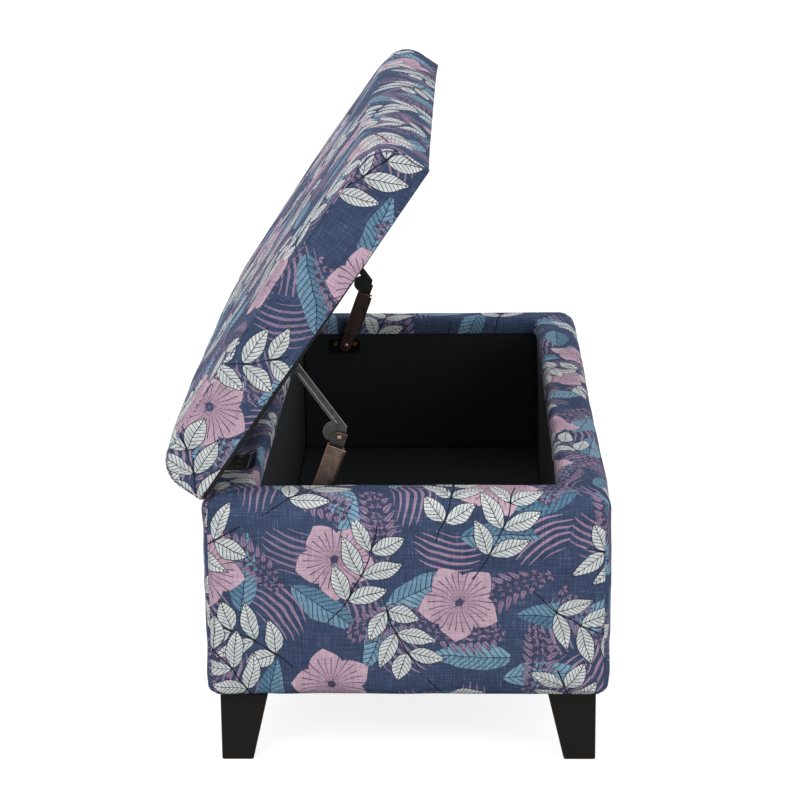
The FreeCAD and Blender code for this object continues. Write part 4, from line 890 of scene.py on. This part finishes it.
inward = [(-end, 0, 0) for end in ends]
outward = [(end, 0, 0) for end in ends]
rimScrews = [(x, hinge["y"], hinge["boxZ"]) for x in hingeXs]
leafScrews = lidPlaces(lid["hingeY"] - hinge["y"], lid["hingeZ"] - hinge["lidZ"], hingeXs)
plateScrewZ = stay["baseZ"] + stay["screwUp"]
plateScrews = [(end * stay["plateX"], stay["baseY"] + step * stay["screwSide"], plateScrewZ)
               for end in ends for step in (-1, 1)]
earXs = [end * stay["earX"] for end in ends]
earFronts = [stay["lidFront"] + step * stay["earSide"] for step in (-1, 1)]
earScrews = np.concatenate([lidPlaces(front, lid["hingeZ"] - stay["earZ"], earXs) for front in earFronts])
plateRivets = [(end * stay["baseDomeX"], stay["baseY"], stay["baseZ"]) for end in ends]
lidRivets = lidPlaces(stay["lidFront"], stay["lidDown"], [end * stay["lidDomeX"] for end in ends])
turnedPiece("hinge_rim_screws", rimScrews, [(0, 0, 1)] * len(rimScrews), longScrew,
            "base", "screw_brass", ["hinge_box_screws"], longThread)
turnedPiece("hinge_lid_leaf_screws", leafScrews, [openWay] * len(leafScrews), shortScrew,
            "lid", "screw_brass", ["hinge_lid_screws"], shortThread)
turnedPiece("stay_bracket_screws", earScrews, [openWay] * len(earScrews), shortScrew,
            "lid", "screw_brass", ["stay_lid_screws"], shortThread)
turnedPiece("stay_plate_screws", plateScrews, np.repeat(inward, 2, axis=0), longScrew,
            "base", "screw_brass", ["stay_base_screws"], longThread)
turnedPiece("stay_plate_rivets", plateRivets, inward, baseDome,
            "base", "bright_copper", ["stay_base_rivets"])
turnedPiece("stay_bracket_rivets", lidRivets, outward, lidDome,
            "lid", "dark_bronze", ["stay_lid_rivets"])
for side, end in (("left", -1), ("right", 1)):
    elbow = (end * stay["elbowDomeX"], stay["elbowY"], stay["elbowZ"])
    turnedPiece(side + "_stay_rivet", [elbow], [(end, 0, 0)], elbowDome,
                side + "_stay_link", "bright_copper", [side + "_stay_elbow_rivet"])
print("screws and rivets made")

# Pale floor and soft studio light

studio = {"floor": 0.4, "floorHalf": 20000, "floorGlow": 0.84, "ambient": 0.62}


def seenRays(tree):   # 1 for a ray from the camera or by way of gloss or glass, else 0
    rays = add(tree, "LightPath").node.outputs
    seen = add(tree, "Math", {0: rays["Is Camera Ray"], 1: rays["Is Glossy Ray"]}, operation="MAXIMUM")
    return add(tree, "Math", {0: seen, 1: rays["Is Transmission Ray"]}, operation="MAXIMUM")


floorMaterial, tree = startMaterial("pale_studio_floor")
glow = add(tree, "Math", {0: seenRays(tree), 1: studio["floorGlow"]}, operation="MULTIPLY")
shine = add(tree, "Emission", {"Color": (1, 1, 1, 1), "Strength": glow})
matt = add(tree, "BsdfDiffuse", {"Color": (studio["floor"],) * 3 + (1,)})
both = add(tree, "AddShader", {0: shine, 1: matt})
add(tree, "OutputMaterial", {"Surface": both})
reach = studio["floorHalf"] / 1000
floorMesh = bpy.data.meshes.new("studio_floor")
corners = [(-reach, -reach, 0), (reach, -reach, 0), (-reach, reach, 0), (reach, reach, 0)]
floorMesh.from_pydata(corners, [], [(0, 1, 3, 2)])
floorMesh.materials.append(floorMaterial)
floor = bpy.data.objects.new("studio_floor", floorMesh)
scene.collection.objects.link(floor)

world = bpy.data.worlds.new("studio")
scene.world = world
world.use_nodes = True
tree = world.node_tree
tree.nodes.clear()
level = add(tree, "MapRange", {"Value": seenRays(tree), "To Min": studio["ambient"], "To Max": 1.0})
sky = add(tree, "Background", {"Color": (1, 1, 1, 1), "Strength": level})
add(tree, "OutputWorld", {"Surface": sky})

lamps = {   # place, target, width, watts
    "key_softbox": ((-3600, 1400, 3000), (-200, 0, 350), 2400, 70),
    "fill_softbox": ((-2600, -3200, 2200), (-100, 0, 300), 2600, 42),
    "back_softbox": ((2600, 2200, 2800), (200, 0, 350), 2600, 45),
}
for name, (place, target, width, watts) in lamps.items():
    lampData = bpy.data.lights.new(name, "AREA")
    lampData.shape = "DISK"
    lampData.size = width / 1000
    lampData.energy = watts
    lamp = bpy.data.objects.new(name, lampData)
    lamp.location = Vector(place) / 1000
    lamp.rotation_euler = (Vector(target) - Vector(place)).to_track_quat("-Z", "Y").to_euler()
    scene.collection.objects.link(lamp)
print("stage made")
